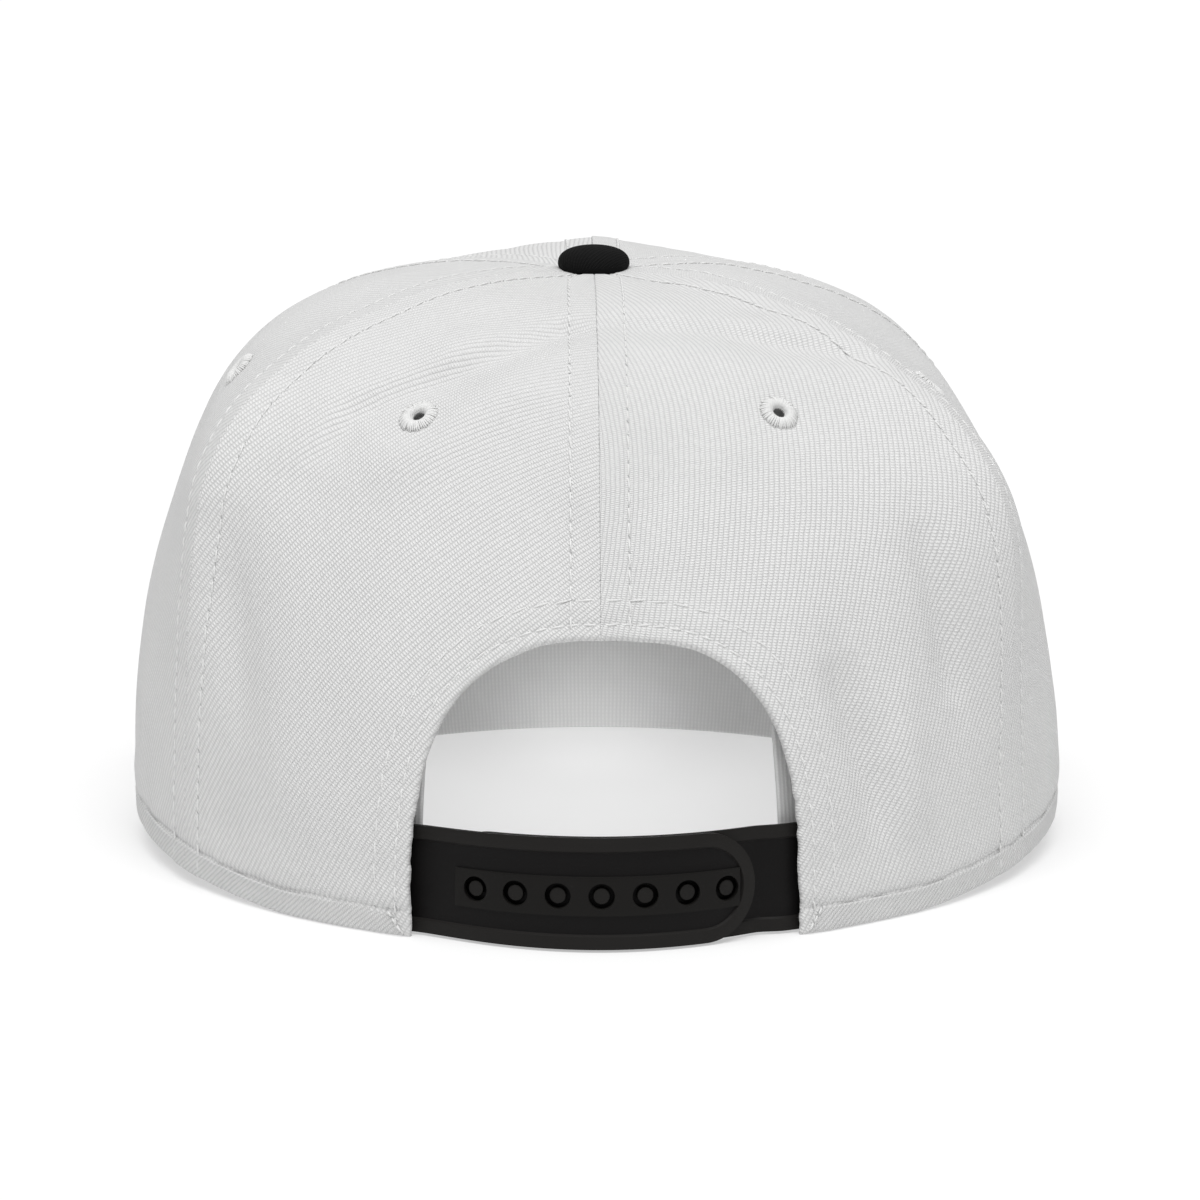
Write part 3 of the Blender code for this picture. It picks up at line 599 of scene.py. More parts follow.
GORE_ROWS, GORE_COLUMNS = 108, 52
ARCH_REACH = 70 * MM            # height up to which the cloth feels the arch
ARCH_CUT = 4.5 * MM             # the gore stops this far from the arch's edge
EYELET_CUT = 1.9 * MM
# azimuth of the meridian that each gore's grain follows
GRAIN = {"back_left": 50.0, "back_right": -60.0, "side_left": 88.75, "side_right": -88.75,
         "front_left": 150.0, "front_right": -150.0}
white_twill = twill("white_twill", light=(0.84, 0.84, 0.835), dark=(0.58, 0.58, 0.58), pitch=1.05 * MM,
                    nub=0.57 * MM, depth=0.20 * MM, roughness=0.85, mottle=0.16, gloss=0.2, sheen=0.05)


def gore_grid(sign, start, end):
    """Azimuth and share of every point of a gore, from hem to top hole and from seam to seam."""
    fraction = graded(GORE_LENGTH, EDGE_STEPS, TOP_STEPS, GORE_ROWS) / GORE_LENGTH
    middle = (start + end) / 2
    middle_share = fraction * share_at_radius(middle, TOP_HOLE_RADIUS)
    width = read_table(RADIUS_TABLE, np.full(len(fraction), middle), middle_share) * (end - start) * DEGREE
    across = graded(width, SEAM_STEPS, SEAM_STEPS, GORE_COLUMNS) / width[:, None]
    azimuth = sign * (start + across * (end - start))
    marks = np.linspace(start, end, 9)
    top_share = np.interp(np.abs(azimuth), marks, [share_at_radius(a, TOP_HOLE_RADIUS) for a in marks])
    return azimuth, fraction[:, None] * top_share


def distance_to_arch(points, sign):
    """Distance from the arch's edge on one side, below nothing inside the opening."""
    edge = crown(*arch_sides[sign][:2])[::4]
    half_width, side_power, top_power = ARCH_SIDES[sign]
    distance = np.full(points.shape[:-1], FAR_OFF)
    near = points[..., 2] < ARCH_REACH
    low = points[near]
    parts = np.array_split(low, 20)
    gaps = [np.linalg.norm(part[:, None] - edge[None], axis=-1).min(axis=1) for part in parts]
    inside = (np.abs(low[:, 0]) / half_width) ** side_power + (low[:, 2] / ARCH_HEIGHT) ** top_power < 1
    distance[near] = np.where(inside, -1, 1) * np.concatenate(gaps)
    return distance


for side_name, sign in SIDES:
    for gore_name, start, end in GORES:
        azimuth, share = gore_grid(sign, start, end)
        outside = crown(azimuth, share)
        arch = distance_to_arch(outside, sign) if gore_name == "back" else np.full(azimuth.shape, FAR_OFF)
        nearest = np.minimum(arch[:-1], arch[1:])
        nearest = np.minimum(nearest[:, :-1], nearest[:, 1:])
        arch = np.clip(arch, 4 * MM, None)
        _, place, level = next(e for e in EYELET_PLACES if e[0] == gore_name)
        middle = (outside[:-1, :-1] + outside[1:, 1:]) / 2
        from_eyelet = np.linalg.norm(middle - crown(sign * place, level), axis=-1)
        kept = (nearest > ARCH_CUT) & (from_eyelet > EYELET_CUT)
        face, back = edge_depths(azimuth, share, arch)
        raised = relief(azimuth, share, arch)
        raised_back = np.where(face < back - 1e-7, raised * 0.5, raised)
        gore = grid_shell(f"gore_{gore_name}_{side_name}", crown(azimuth, share, face - raised),
                          crown(azimuth, share, back - raised_back),
                          cloth_uv(azimuth, share, GRAIN[f"{gore_name}_{side_name}"]), kept)
        gore.data.materials.append(white_twill)
        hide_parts(f"panel_{gore_name}_{side_name}")
        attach(gore, "root")


# Turned edge of the arch
# The cloth's allowance is folded under all round the arch and held by two rows of stitching. It lies a
# hair above the gore and sinks into it past the second row.

SLEEVE_STEPS = (0, .05, .12, .22, .35, .5, .7, .95, 1.4, 1.9, 2.3, 2.55, 2.7, 2.85, 3.1, 3.6, 4.4, 5.3, 6.1,
                6.6, 6.85, 7.0, 7.15, 7.4, 7.8, 8.2, 8.6, 8.9)
SLEEVE_ROWS = 170
SLEEVE_PROUD = 0.05 * MM
SLEEVE_SINK = 0.25 * MM


def off_arch(sign, along, distance):
    """Azimuth and share at a distance from the arch's edge, square to it, and along it from the hem."""
    edge_azimuth, edge_share, length = arch_sides[sign]
    position = along / length * (ARCH_POINTS - 1)
    base = np.arange(ARCH_POINTS)
    a = np.interp(position, base, edge_azimuth)
    v = np.interp(position, base, edge_share)
    radius = read_table(RADIUS_TABLE, a, v)
    arc = read_table(ARC_TABLE, a, v)
    tangent_u = np.interp(position, base, np.gradient(edge_azimuth)) * DEGREE * radius
    tangent_v = np.interp(position, base, np.gradient(edge_share)) * arc
    length = np.hypot(tangent_u, tangent_v)
    tangent_u, tangent_v = tangent_u / length, tangent_v / length
    side = sign * tangent_v
    up = -sign * tangent_u
    return a + side * distance / radius / DEGREE, v + up * distance / arc


for side_name, sign in SIDES:
    length = arch_sides[sign][2]
    along, distance = np.meshgrid(graded(length, EDGE_STEPS, SEAM_STEPS[:12], SLEEVE_ROWS),
                                  np.array(SLEEVE_STEPS) * MM, indexing="ij")
    low_down = 1 - smoothstep((along - 24 * MM) / (8 * MM))
    wobble = 0.22 * MM * ripple(along, 0 * along + sign, 5.2 * MM, 21)
    wobble = wobble + 0.26 * MM * low_down * ripple(along, 0 * along + sign, 1.5 * MM, 22)
    wobble = wobble * smoothstep(along / (2 * MM)) * smoothstep((length - along) / (6 * MM))
    wobble = wobble * (1 - smoothstep(distance / (2 * MM)))
    azimuth, share = off_arch(sign, along, distance + wobble)
    azimuth = sign * np.clip(sign * azimuth, 0, None)
    azimuth[-1] = 0
    share[0] = 0
    share = np.clip(share, 0, 1)
    face, back = edge_depths(azimuth, share, distance)
    raised = relief(azimuth, share, distance)
    sink = SLEEVE_SINK * smoothstep((distance - 7.3 * MM) / (1.3 * MM))
    sink = sink + (EDGE_RADIUS - SLEEVE_SINK) * smoothstep((distance - 8.5 * MM) / (0.4 * MM))
    lifted = SLEEVE_PROUD * smoothstep(distance / (1 * MM))
    face_depth = face - lifted + sink
    back_depth = np.where(distance > 8.85 * MM, face_depth, back + lifted - sink)
    back_depth = np.maximum(back_depth, face_depth)
    raised_back = np.where(back_depth - face_depth < 1e-7, raised, raised * 0.5)
    sleeve = grid_shell(f"arch_fold_{side_name}", crown(azimuth, share, face_depth - raised),
                        crown(azimuth, share, back_depth - raised_back),
                        cloth_uv(azimuth, share, GRAIN[f"back_{side_name}"]))
    sleeve.data.materials.append(white_twill)
    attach(sleeve, "root")


# Hem band
# The lower edge of the back and side gores is bound with a turned strip of the same twill, mitred where it
# meets the fold of the arch.

HEM_PROUD = 0.20 * MM
HEM_LENGTH = 90 * MM            # about, of one strip
HEM_LOW_STEPS = (0, .05, .12, .22, .35, .5, .7, .95)
HEM_HIGH_STEPS = (0, .05, .1, .16, .24, .34, .5, .8)
HEM_END_STEPS = (0, .06, .14, .25, .4, .7)
HEM_GRAIN = 150.0
MITRE_START, MITRE_SLOPE = 0.8 * MM, 0.76
hem_twill = twill("white_twill_bias", light=(0.80, 0.80, 0.795), dark=(0.53, 0.53, 0.53), pitch=0.82 * MM,
                  nub=0.5 * MM, depth=0.18 * MM, roughness=0.85, mottle=0.22, gloss=0.2, sheen=0.05)

for side_name, sign in SIDES:
    foot = abs(arch_sides[sign][0][0])
    for gore_name, start, end in GORES[:2]:
        by_arch = gore_name == "back"
        level, fraction = np.meshgrid(graded(HEM_FOLD, HEM_LOW_STEPS, HEM_HIGH_STEPS, 7),
                                      graded(HEM_LENGTH, HEM_END_STEPS, HEM_END_STEPS, 120) / HEM_LENGTH,
                                      indexing="ij")
        mitre = (MITRE_START + MITRE_SLOPE * level) / hem_radius(start) / DEGREE
        first = foot + mitre if by_arch else start
        azimuth = sign * (first + (end - first) * fraction)
        share = level / read_table(ARC_TABLE, azimuth, 0 * azimuth)
        radius = read_table(RADIUS_TABLE, azimuth, share)
        from_end = np.minimum(fraction, 1 - fraction) * (end - first) * DEGREE * radius
        edge = np.minimum(HEM_FOLD - level, from_end)
        face = np.maximum(fold_away(edge, 0.3 * MM, HEM_PROUD + 0.3 * MM),
                          fold_away(level, EDGE_RADIUS, HEM_PROUD + EDGE_RADIUS)) - HEM_PROUD
        border = (level < 1e-9) | (edge < 1e-9)
        inner = np.where(border, face, np.maximum(face + 0.06 * MM, 0.3 * MM))
        from_arch = (np.abs(azimuth) - foot) * DEGREE * radius if by_arch else FAR_OFF + 0 * radius
        raised = relief(azimuth, share, np.clip(from_arch, 0, None))
        raised = raised * (1 - smoothstep((level - 3.2 * MM) / (1.2 * MM)))
        wave = 0.07 * MM * ripple(azimuth * DEGREE * MEAN_RADIUS, level, 3.3 * MM, 61)
        outside = crown(azimuth, share, face - raised - np.where(border, 0, wave))
        band = grid_shell(f"hem_band_{gore_name}_{side_name}", outside, crown(azimuth, share, inner - raised),
                          cloth_uv(azimuth, share, sign * HEM_GRAIN)[..., ::-1])
        band.data.materials.append(hem_twill)
        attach(band, "root")


# Topstitching
# White polyester thread in short lockstitches: two rows beside every seam and two round the arch. A stitch
# is a bead of thread, pulled into the cloth at both ends.

THREAD = 0.40 * MM
STITCH_PITCH, STITCH_GAP = 2.9 * MM, 0.16
ARCH_PITCHES = (2.9 * MM, 4.1 * MM)
MITRE_PITCH, MITRE_GAP, MITRE_PROUD = 1.6 * MM, 0.1, HEM_PROUD + 0.14 * MM
NEEDLE_LONG, NEEDLE_WIDE, NEEDLE_TURN = 0.38 * MM, 0.12 * MM, 34 * DEGREE
NEEDLE_SIDES = 8


def plain_thread(name, colour, roughness):
    """Twisted thread of one colour, with painted shade between its strands and random fuzz in its tone."""
    made, tree, shader = new_material(name)
    place = add_node(tree, "ShaderNodeTexCoord", output=3)
    fuzz = noise(tree, place, 5200.0, 2.0, "3D")
    twist = add_node(tree, "ShaderNodeTexWave", {"bands_direction": "DIAGONAL"}, Vector=place, Scale=900.0,
                     Distortion=1.5)
    darker = [0.86 * c for c in colour]
    feed(tree, shader, Base_Color=blend(tree, fuzz * 0.6 + twist * 0.3, darker, colour), Roughness=roughness,
         Normal=bump(tree, 0.6, 0.06 * MM, twist + fuzz * 0.5), Specular_IOR_Level=0.35)
    return made


def unit(vectors):
    """The same directions, each one long."""
    return vectors / np.linalg.norm(vectors, axis=-1, keepdims=True)


def mesh_piece(name, points, faces, *materials):
    """A smooth-shaded mesh object made straight from its points and faces."""
    mesh = bpy.data.meshes.new(name)
    mesh.from_pydata(points, [], faces)
    mesh.polygons.foreach_set("use_smooth", [True] * len(faces))
    for material in materials:
        mesh.materials.append(material)
    made = bpy.data.objects.new(name, mesh)
    bpy.context.collection.objects.link(made)
    return made


white_thread = plain_thread("white_thread", (0.82, 0.82, 0.815), 0.6)
# grey for the flat discs at the needle holes: painted shade, not pits in the cloth
painted_needle_shade = plain_thread("painted_needle_hole_shade", (0.46, 0.46, 0.46), 0.9)

bpy.ops.object.select_all(action="DESELECT")
bpy.ops.mesh.primitive_uv_sphere_add(segments=8, ring_count=6, radius=0.5, rotation=(0, math.pi / 2, 0))
bead = bpy.context.object
bpy.ops.object.transform_apply(location=False, rotation=True, scale=False)
BEAD_POINTS = np.array([v.co[:] for v in bead.data.vertices])
BEAD_FACES = [tuple(p.vertices) for p in bead.data.polygons]
bpy.data.objects.remove(bead)
BEAD_POINTS[:, 0] = np.sign(BEAD_POINTS[:, 0]) * 0.5 * np.abs(2 * BEAD_POINTS[:, 0]) ** 0.75


def stitches(name, starts, ends, normals, material, seed=1):
    """One mesh of thread beads, each from a start to an end on the cloth and sunk into it at both."""
    draw = np.random.default_rng(seed)
    count = len(starts)
    length = np.linalg.norm(ends - starts, axis=1, keepdims=True)
    x = (ends - starts) / length
    y = unit(np.cross(unit(normals), x))
    z = np.cross(x, y)
    turn = (6.0 + draw.normal(0, 2.2, (count, 1))) * DEGREE
    x, y = x * np.cos(turn) + y * np.sin(turn), y * np.cos(turn) - x * np.sin(turn)
    bead = BEAD_POINTS[None]
    local_x = bead[..., 0] * length
    local_y = bead[..., 1] * THREAD
    local_z = bead[..., 2] * THREAD + THREAD * (0.32 - 0.6 * (2 * bead[..., 0]) ** 4)
    points = (((starts + ends) / 2)[:, None] + local_x[..., None] * x[:, None]
              + local_y[..., None] * y[:, None] + local_z[..., None] * z[:, None])
    size = len(BEAD_POINTS)
    faces = [tuple(i + k * size for i in face) for k in range(count) for face in BEAD_FACES]
    return mesh_piece(name, points.reshape(-1, 3).tolist(), faces, material)


def cloth_row(azimuth, share, arch, pitch=STITCH_PITCH, gap=STITCH_GAP, proud=0.0):
    """Start, end and normal of every stitch along a row of cloth positions."""
    def surface(a, s, from_arch):
        face, _ = edge_depths(a, s, from_arch)
        return crown(a, s, face - relief(a, s, from_arch) - proud)

    arch = np.broadcast_to(arch, azimuth.shape)
    walk = walked(*surface(azimuth, share, arch).T)
    count = max(1, int(round(walk[-1] / pitch)))
    numbers = np.arange(count)
    marks = np.concatenate([numbers + gap / 2, numbers + 1 - gap / 2]) * walk[-1] / count
    a, s, off = (np.interp(marks, walk, values) for values in (azimuth, share, arch))
    points = surface(a, s, off)
    tilt = surface(a + 0.4, s, off) - surface(a - 0.4, s, off)
    rise = surface(a, s + 0.003, off) - surface(a, s - 0.003, off)
    normal = np.cross(rise, tilt)
    return points[:count], points[count:], normal[:count] + normal[count:]


def painted_hole_shade_discs(name, starts, ends, normals, material, seed=5):
    """Small slanting grey discs laid just above the cloth at the start of every stitch: painted shade of the
    holes where the thread goes down into the cloth.
    """
    draw = np.random.default_rng(seed)
    count = len(starts)
    x, z = unit(ends - starts), unit(normals)
    y = np.cross(z, x)
    angle = NEEDLE_TURN + draw.normal(0, 14 * DEGREE, (count, 1))
    lean_x, lean_y = x * np.cos(angle) + y * np.sin(angle), y * np.cos(angle) - x * np.sin(angle)
    size = draw.uniform(0.4, 1.2, (count, 1))
    centre = starts - x * 0.22 * MM + z * 0.045 * MM
    points = []
    for around in np.arange(NEEDLE_SIDES) * 2 * math.pi / NEEDLE_SIDES:
        points.append(centre + lean_x * math.cos(around) * NEEDLE_LONG * size
                      + lean_y * math.sin(around) * NEEDLE_WIDE * size)
    faces = np.arange(count * NEEDLE_SIDES).reshape(-1, NEEDLE_SIDES).tolist()
    return mesh_piece(name, np.stack(points, axis=1).reshape(-1, 3).tolist(), faces, material)


rows = []
for seam in SEAMS:
    for side in (-1, 1):
        share = np.linspace(0.006, 0.955, 500)
        radius = read_table(RADIUS_TABLE, np.full(500, seam), share)
        azimuth = seam + side * seam_row(radius) / radius / DEGREE
        clear = np.full(500, FAR_OFF)
        if seam == 0:
            above = crown(azimuth, share)[:, 2] > ARCH_HEIGHT + 1.0 * MM
            azimuth, share = azimuth[above], share[above]
            clear = np.clip(crown(azimuth, share)[:, 2] - ARCH_HEIGHT, 0, None)
        rows.append(cloth_row(azimuth, share, clear))
for sign in (-1, 1):
    for distance, pitch in zip(ARCH_ROWS, ARCH_PITCHES):
        along = np.linspace(0.8 * MM, arch_sides[sign][2] - 0.5 * MM, 300)
        azimuth, share = off_arch(sign, along, distance)
        rows.append(cloth_row(azimuth, share, distance, pitch))
    foot = arch_sides[sign][0][0]
    level = np.linspace(HEM_FOLD, 0.9 * MM, 60)
    azimuth = foot + sign * (MITRE_START - 0.1 * MM + MITRE_SLOPE * level) / hem_radius(foot) / DEGREE
    share = level / read_table(ARC_TABLE, azimuth, 0 * azimuth)
    from_arch = (np.abs(azimuth) - abs(foot)) * DEGREE * MEAN_RADIUS
    rows.append(cloth_row(azimuth, share, from_arch, MITRE_PITCH, MITRE_GAP, MITRE_PROUD))
row_points = [np.concatenate(part) for part in zip(*rows)]
# the thread beads, and the grey discs of painted needle-hole shade
for made in (stitches("crown_topstitching", *row_points, white_thread),
             painted_hole_shade_discs("crown_painted_needle_hole_shade", *row_points, painted_needle_shade)):
    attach(made, "root")


# Eyelets
# Each eyelet is a punched hole bound by close satin stitches that run out from it like spokes, over a
# padded ring.

SPOKES, SPOKE_SIDES = 50, 6
RING_TURNS = 32
# radius and height in millimetres along a stitch and round the padded ring
SPOKE_PATH = ((1.22, -1.0), (1.26, -0.2), (1.50, 0.48), (2.0, 0.84), (2.75, 0.74), (3.3, 0.38), (3.62, -0.05))
RING_PATH = ((1.12, -2.2), (1.12, 0.0), (1.5, 0.42), (2.05, 0.74), (2.75, 0.62), (3.25, 0.26), (3.4, -0.35),
             (2.2, -0.5), (2.2, -2.2))
# dark grey for the inside of each eyelet's bore: painted shade
painted_bore_shade = plain_thread("eyelet_bore_painted_shade", (0.24, 0.24, 0.24), 0.9)


def eyelet(name, azimuth, share, seed):
    """An eyelet that lies on the finished cloth, with its bore coloured dark grey as painted shade."""
    turned = azimuth + np.array([2.2, -2.2, 0, 0, 0])
    climbed = share + np.array([0, 0, 0.022, -0.022, 0])
    around = crown(turned, climbed, -relief(turned, climbed, np.full(5, FAR_OFF)))
    centre = around.mean(axis=0)
    z = unit(np.cross(around[2] - around[3], around[0] - around[1]))
    x = unit(np.cross([0, 0, 1], z))
    y = np.cross(z, x)
    draw = np.random.default_rng(seed)
    vertices, faces = [], []

    def add_point(out, aside, height, angle):
        """Add a point by its way out along an angle, its way aside from that and its height."""
        c, s = math.cos(angle), math.sin(angle)
        vertices.append(centre + z * height + x * (out * c - aside * s) + y * (out * s + aside * c))

    path = np.array(SPOKE_PATH) * MM
    for spoke in range(SPOKES):
        angle = 2 * math.pi * (spoke + draw.uniform(-0.22, 0.22)) / SPOKES
        stretch = 1 + draw.uniform(-0.05, 0.05)
        thick = draw.uniform(0.17, 0.21) * MM
        base = len(vertices)
        for k, (radius, height) in enumerate(path):
            run, climb = unit(path[min(k + 1, len(path) - 1)] - path[max(k - 1, 0)])
            swirl = angle + 0.10 * (radius / MM - 2) / 3.6
            reach = radius * (stretch if radius > 2 * MM else 1)
            wide = thick * (0.55 + 0.45 * min(1, radius / (2.6 * MM)))
            for turn in np.arange(SPOKE_SIDES) * 2 * math.pi / SPOKE_SIDES:
                off = thick * math.cos(turn)
                add_point(reach - climb * off, wide * math.sin(turn), height + run * off, swirl)
        last = base + (len(path) - 1) * SPOKE_SIDES
        for a in range(base, last, SPOKE_SIDES):
            b = a + SPOKE_SIDES
            for m in range(SPOKE_SIDES):
                n = (m + 1) % SPOKE_SIDES
                faces.append((a + m, a + n, b + n, b + m))
        faces.append(tuple(base + m for m in reversed(range(SPOKE_SIDES))))
        faces.append(tuple(last + m for m in range(SPOKE_SIDES)))
    base, size = len(vertices), len(RING_PATH)
    for s in range(RING_TURNS):
        a, b = base + s * size, base + (s + 1) % RING_TURNS * size
        for k, (radius, height) in enumerate(RING_PATH):
            n = (k + 1) % size
            add_point(radius * MM, 0, height * MM, 2 * math.pi * s / RING_TURNS)
            faces.append((a + k, b + k, b + n, a + n))
    made = mesh_piece(name, [tuple(v) for v in vertices], faces, white_thread, painted_bore_shade)
    work = bmesh.new()
    work.from_mesh(made.data)
    bmesh.ops.recalc_face_normals(work, faces=work.faces)
    work.to_mesh(made.data)
    work.free()
    # faces inside the bore take the dark grey of painted shade
    for polygon in made.data.polygons:
        from_middle = polygon.center - Vector(centre)
        height = from_middle.dot(Vector(z))
        in_bore = height < -0.1 * MM and (from_middle - Vector(z) * height).length < 1.5 * MM
        polygon.material_index = int(in_bore)
    return made


for index, (eyelet_name, place, level) in enumerate(EYELET_PLACES):
    for side_name, sign in SIDES:
        made = eyelet(f"eyelet_stitched_{eyelet_name}_{side_name}", sign * place, level,
                      40 + 2 * index + sign)
        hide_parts(f"eyelet_{eyelet_name}_{side_name}")
        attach(made, "root")


# Top button
# A domed metal button covered in black twill, drawn tight with small gathers at its rim.

BUTTON_RADIUS = 6.8 * MM
BUTTON_DOME = 4.95 * MM

black_twill = twill("black_twill", light=(0.0105, 0.0105, 0.0105), dark=(0.0012, 0.0012, 0.0012),
                    pitch=0.8 * MM, nub=0.5 * MM, depth=0.14 * MM, roughness=0.8, mottle=0.3, gloss=0.1,
                    sheen=0.0)

bpy.ops.object.select_all(action="DESELECT")
bpy.ops.mesh.primitive_uv_sphere_add(segments=96, ring_count=48, radius=1)
button = bpy.context.object
button.name = button.data.name = "button_covered"
ball = np.array([v.co[:] for v in button.data.vertices])
angle = np.arctan2(ball[:, 0], ball[:, 1])
fall = np.arccos(np.clip(ball[:, 2], -1, 1))
degrees = np.degrees(angle)
rise = math.pi / 2 - fall
out = np.cos(rise) ** np.where(rise > 0, 0.80, 0.17)
seat = np.array([crown(a, share_at_radius(a, BUTTON_RADIUS * 0.8))[2] for a in degrees]) - 0.35 * MM
middle = np.array([crown(a, share_at_radius(a, BUTTON_RADIUS))[2] for a in degrees]) + 1.25 * MM
gather = 0.07 * MM * np.sin(angle * 19 + 1.2 * np.sin(3 * angle)) * bump_at(rise + 0.35, 0.4)
reach = (BUTTON_RADIUS + gather) * out
above = (CROWN_HEIGHT + BUTTON_DOME - middle) * np.sin(np.clip(rise, 0, None)) ** 0.95
below = (middle - seat) * np.sin(np.clip(rise, None, 0))
height = middle + np.where(rise > 0, above, below)
placed = np.stack([reach * np.sin(angle), reach * np.cos(angle) + CENTRE_Y, height], axis=-1)
button.data.vertices.foreach_set("co", placed.ravel())
corner = np.empty(len(button.data.loops), int)
button.data.loops.foreach_get("vertex_index", corner)
spread = (fall * BUTTON_RADIUS)[:, None] * np.stack([np.sin(angle), np.cos(angle)], axis=-1)
button.data.uv_layers[0].data.foreach_set("uv", spread[corner].ravel())
bpy.ops.object.shade_smooth()
button.data.materials.append(black_twill)
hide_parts("top_button")
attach(button, "root")


# Snap strap's place
# Both halves follow the inside of the hem and bow out over the arch. Distance runs along the strap from the
# middle of the arch, towards +X, and z is height above the floor.

CURVED_GAP = 0.55 * MM
GAP = 0.3 * MM
STRAP_HEIGHT = 19.4 * MM
STRAP_BOW = 5.5 * MM
STRAP_MIDDLE = 0.5 * MM + STRAP_HEIGHT / 2
STRAP_WEB = 1.1 * MM
STRAP_RIM = 0.5 * MM
STRAP_ROOT = 45.0 * MM
PEG_PLATE = 1.2 * MM
STRAP_DEPTH = PANEL_WALL + CURVED_GAP
PEGS_DEPTH = STRAP_DEPTH + STRAP_RIM + STRAP_WEB + GAP

plan_degrees = np.linspace(0, 90, 361)
plan_x = hem_radius(plan_degrees) * np.sin(plan_degrees * DEGREE)
plan_y = hem_radius(plan_degrees) * np.cos(plan_degrees * DEGREE)
plan_walk = walked(plan_x, plan_y)


def plan_azimuth(distance):
    """Azimuth at a distance walked round the hem from the centre back."""
    return np.sign(distance) * np.interp(np.abs(distance), plan_walk, plan_degrees)


def strap_place(distance, z, depth):
    """Points of the strap, leaning in with the crown's wall."""
    azimuth = plan_azimuth(distance)
    share = z / GORE_LENGTH
    for _ in range(12):
        share = share + (z - read_table(HEIGHT_TABLE, azimuth, share)) / GORE_LENGTH
    bow = STRAP_BOW * np.clip(1 - (distance / ARCH_HALF_WIDTH) ** 2, 0, None) ** 1.5
    return crown(azimuth, np.clip(share, 0, 1), depth - bow)


# Sweatband
# A band of ribbed cotton tape, sewn in behind the hem all round, with its two ends showing inside the arch.
# Behind the peak, which holds the hem off the floor, it hangs lower and curves in at its foot.

SWEATBAND_HEIGHT = 36.0 * MM
SWEATBAND_LENGTH = 560 * MM     # about, round the head
SWEATBAND_WALL = 1.0 * MM
SWEATBAND_SETBACK = 2.0 * MM    # above the hem
SWEATBAND_EASE = 14.0 * MM
SWEATBAND_CLEAR = 0.2 * MM      # above the floor, behind the peak
SWEATBAND_COVE, COVE_HEIGHT = 5.0 * MM, 22.0 * MM
SWEATBAND_STEPS = (0, .08, .2, .4, .8, 1.4, 2.2, 3.0, 3.4, 3.8)
SWEATBAND_END_STEPS = (0, .1, .3, .6, 1.0, 1.6, 2.4)
PEAK_FROM, PEAK_OVER = 114, 8   # degrees from the back where the band starts to hang behind the peak
TAPE_RADIUS = 92 * MM           # the flat layout's scale round the head

band_start = float(np.interp(ARCH_SIDES[1][0], plan_x, plan_degrees))
band_root = float(plan_azimuth(STRAP_ROOT + SWEATBAND_SETBACK))
band_eased = float(plan_azimuth(STRAP_ROOT + SWEATBAND_SETBACK + SWEATBAND_EASE))
behind_pegs = PEGS_DEPTH + PEG_PLATE + GAP

level, around = np.meshgrid(graded(SWEATBAND_HEIGHT, SWEATBAND_STEPS, SWEATBAND_STEPS, 16),
                            graded(SWEATBAND_LENGTH, SWEATBAND_END_STEPS, SWEATBAND_END_STEPS, 330),
                            indexing="ij")
around = around / SWEATBAND_LENGTH
azimuth = band_start + (360 - 2 * band_start) * around
signed = np.where(azimuth <= 180, azimuth, azimuth - 360)
from_back = np.minimum(azimuth, 360 - azimuth)
by_peak = smoothstep((from_back - PEAK_FROM) / PEAK_OVER)
by_strap = smoothstep((band_eased - from_back) / (band_eased - band_root))
depth = STRAP_DEPTH + (behind_pegs - STRAP_DEPTH) * by_strap
depth = depth + SWEATBAND_COVE * np.clip(1 - level / COVE_HEIGHT, 0, 1) ** 2 * by_peak
to_floor = read_table(HEIGHT_TABLE, signed, 0 * signed) + SWEATBAND_SETBACK - SWEATBAND_CLEAR
rise = SWEATBAND_SETBACK + level - by_peak * to_floor * (1 - level / SWEATBAND_HEIGHT)
share = np.clip(rise, 0, None) / read_table(ARC_TABLE, signed, 0 * signed)
below_top = SWEATBAND_HEIGHT - level
edge = np.minimum(np.minimum(level, below_top), np.minimum(around, 1 - around) * SWEATBAND_LENGTH)
tape_edge = fold_away(edge, 0.5 * MM, SWEATBAND_WALL / 2)
wave = 0.12 * MM * ripple(signed * DEGREE * MEAN_RADIUS, level, 16 * MM, 31)
wave = wave + 0.18 * MM * bump_at(below_top - 1.6 * MM, 1.2 * MM)
wave = wave - 0.12 * MM * bump_at(below_top - 3.4 * MM, 0.4 * MM)
wave = np.where(tape_edge < SWEATBAND_WALL / 2 - 1e-7, wave, 0)
outer = crown(signed, share, depth + tape_edge)
inner = crown(signed, share, depth + SWEATBAND_WALL - tape_edge + wave)
for side in (outer, inner):
    side[..., 2] -= np.clip(-rise, 0, None)
tape_uv = np.stack([azimuth * DEGREE * TAPE_RADIUS, level], axis=-1)
sweatband = grid_shell("sweatband_tape", outer, inner, tape_uv)

band_tape, tree, shader = new_material("band_tape")
place, across, up = flat_layout(tree)
sway = noise(tree, place, 300.0, 2.0)
ribs = ((across + (sway - 0.5) * 0.0002) * (2 * math.pi / 0.0008)).call("SINE") * 0.5 + 0.5
threads = ((up + (sway - 0.5) * 0.0002) * (2 * math.pi / 0.0006)).call("SINE") * 0.5 + 0.5
height = ribs * 0.55 + threads * ribs * 0.45
# darker in the grooves between the ribs: painted shade, with random sway in tone
colour = blend(tree, height * 0.8 + sway * 0.2, (0.68, 0.68, 0.68), (0.80, 0.80, 0.795))
feed(tree, shader, Base_Color=colour, Roughness=0.9, Normal=bump(tree, 1.0, 0.05 * MM, height))
sweatband.data.materials.append(band_tape)
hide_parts("sweatband")
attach(sweatband, "root")


# Peak
# A stiff board covered in black twill on both faces, with rows of stitching that follow its outer edge. It
# is sewn in under the front hem, curved a little, and the cap rests on its edge.

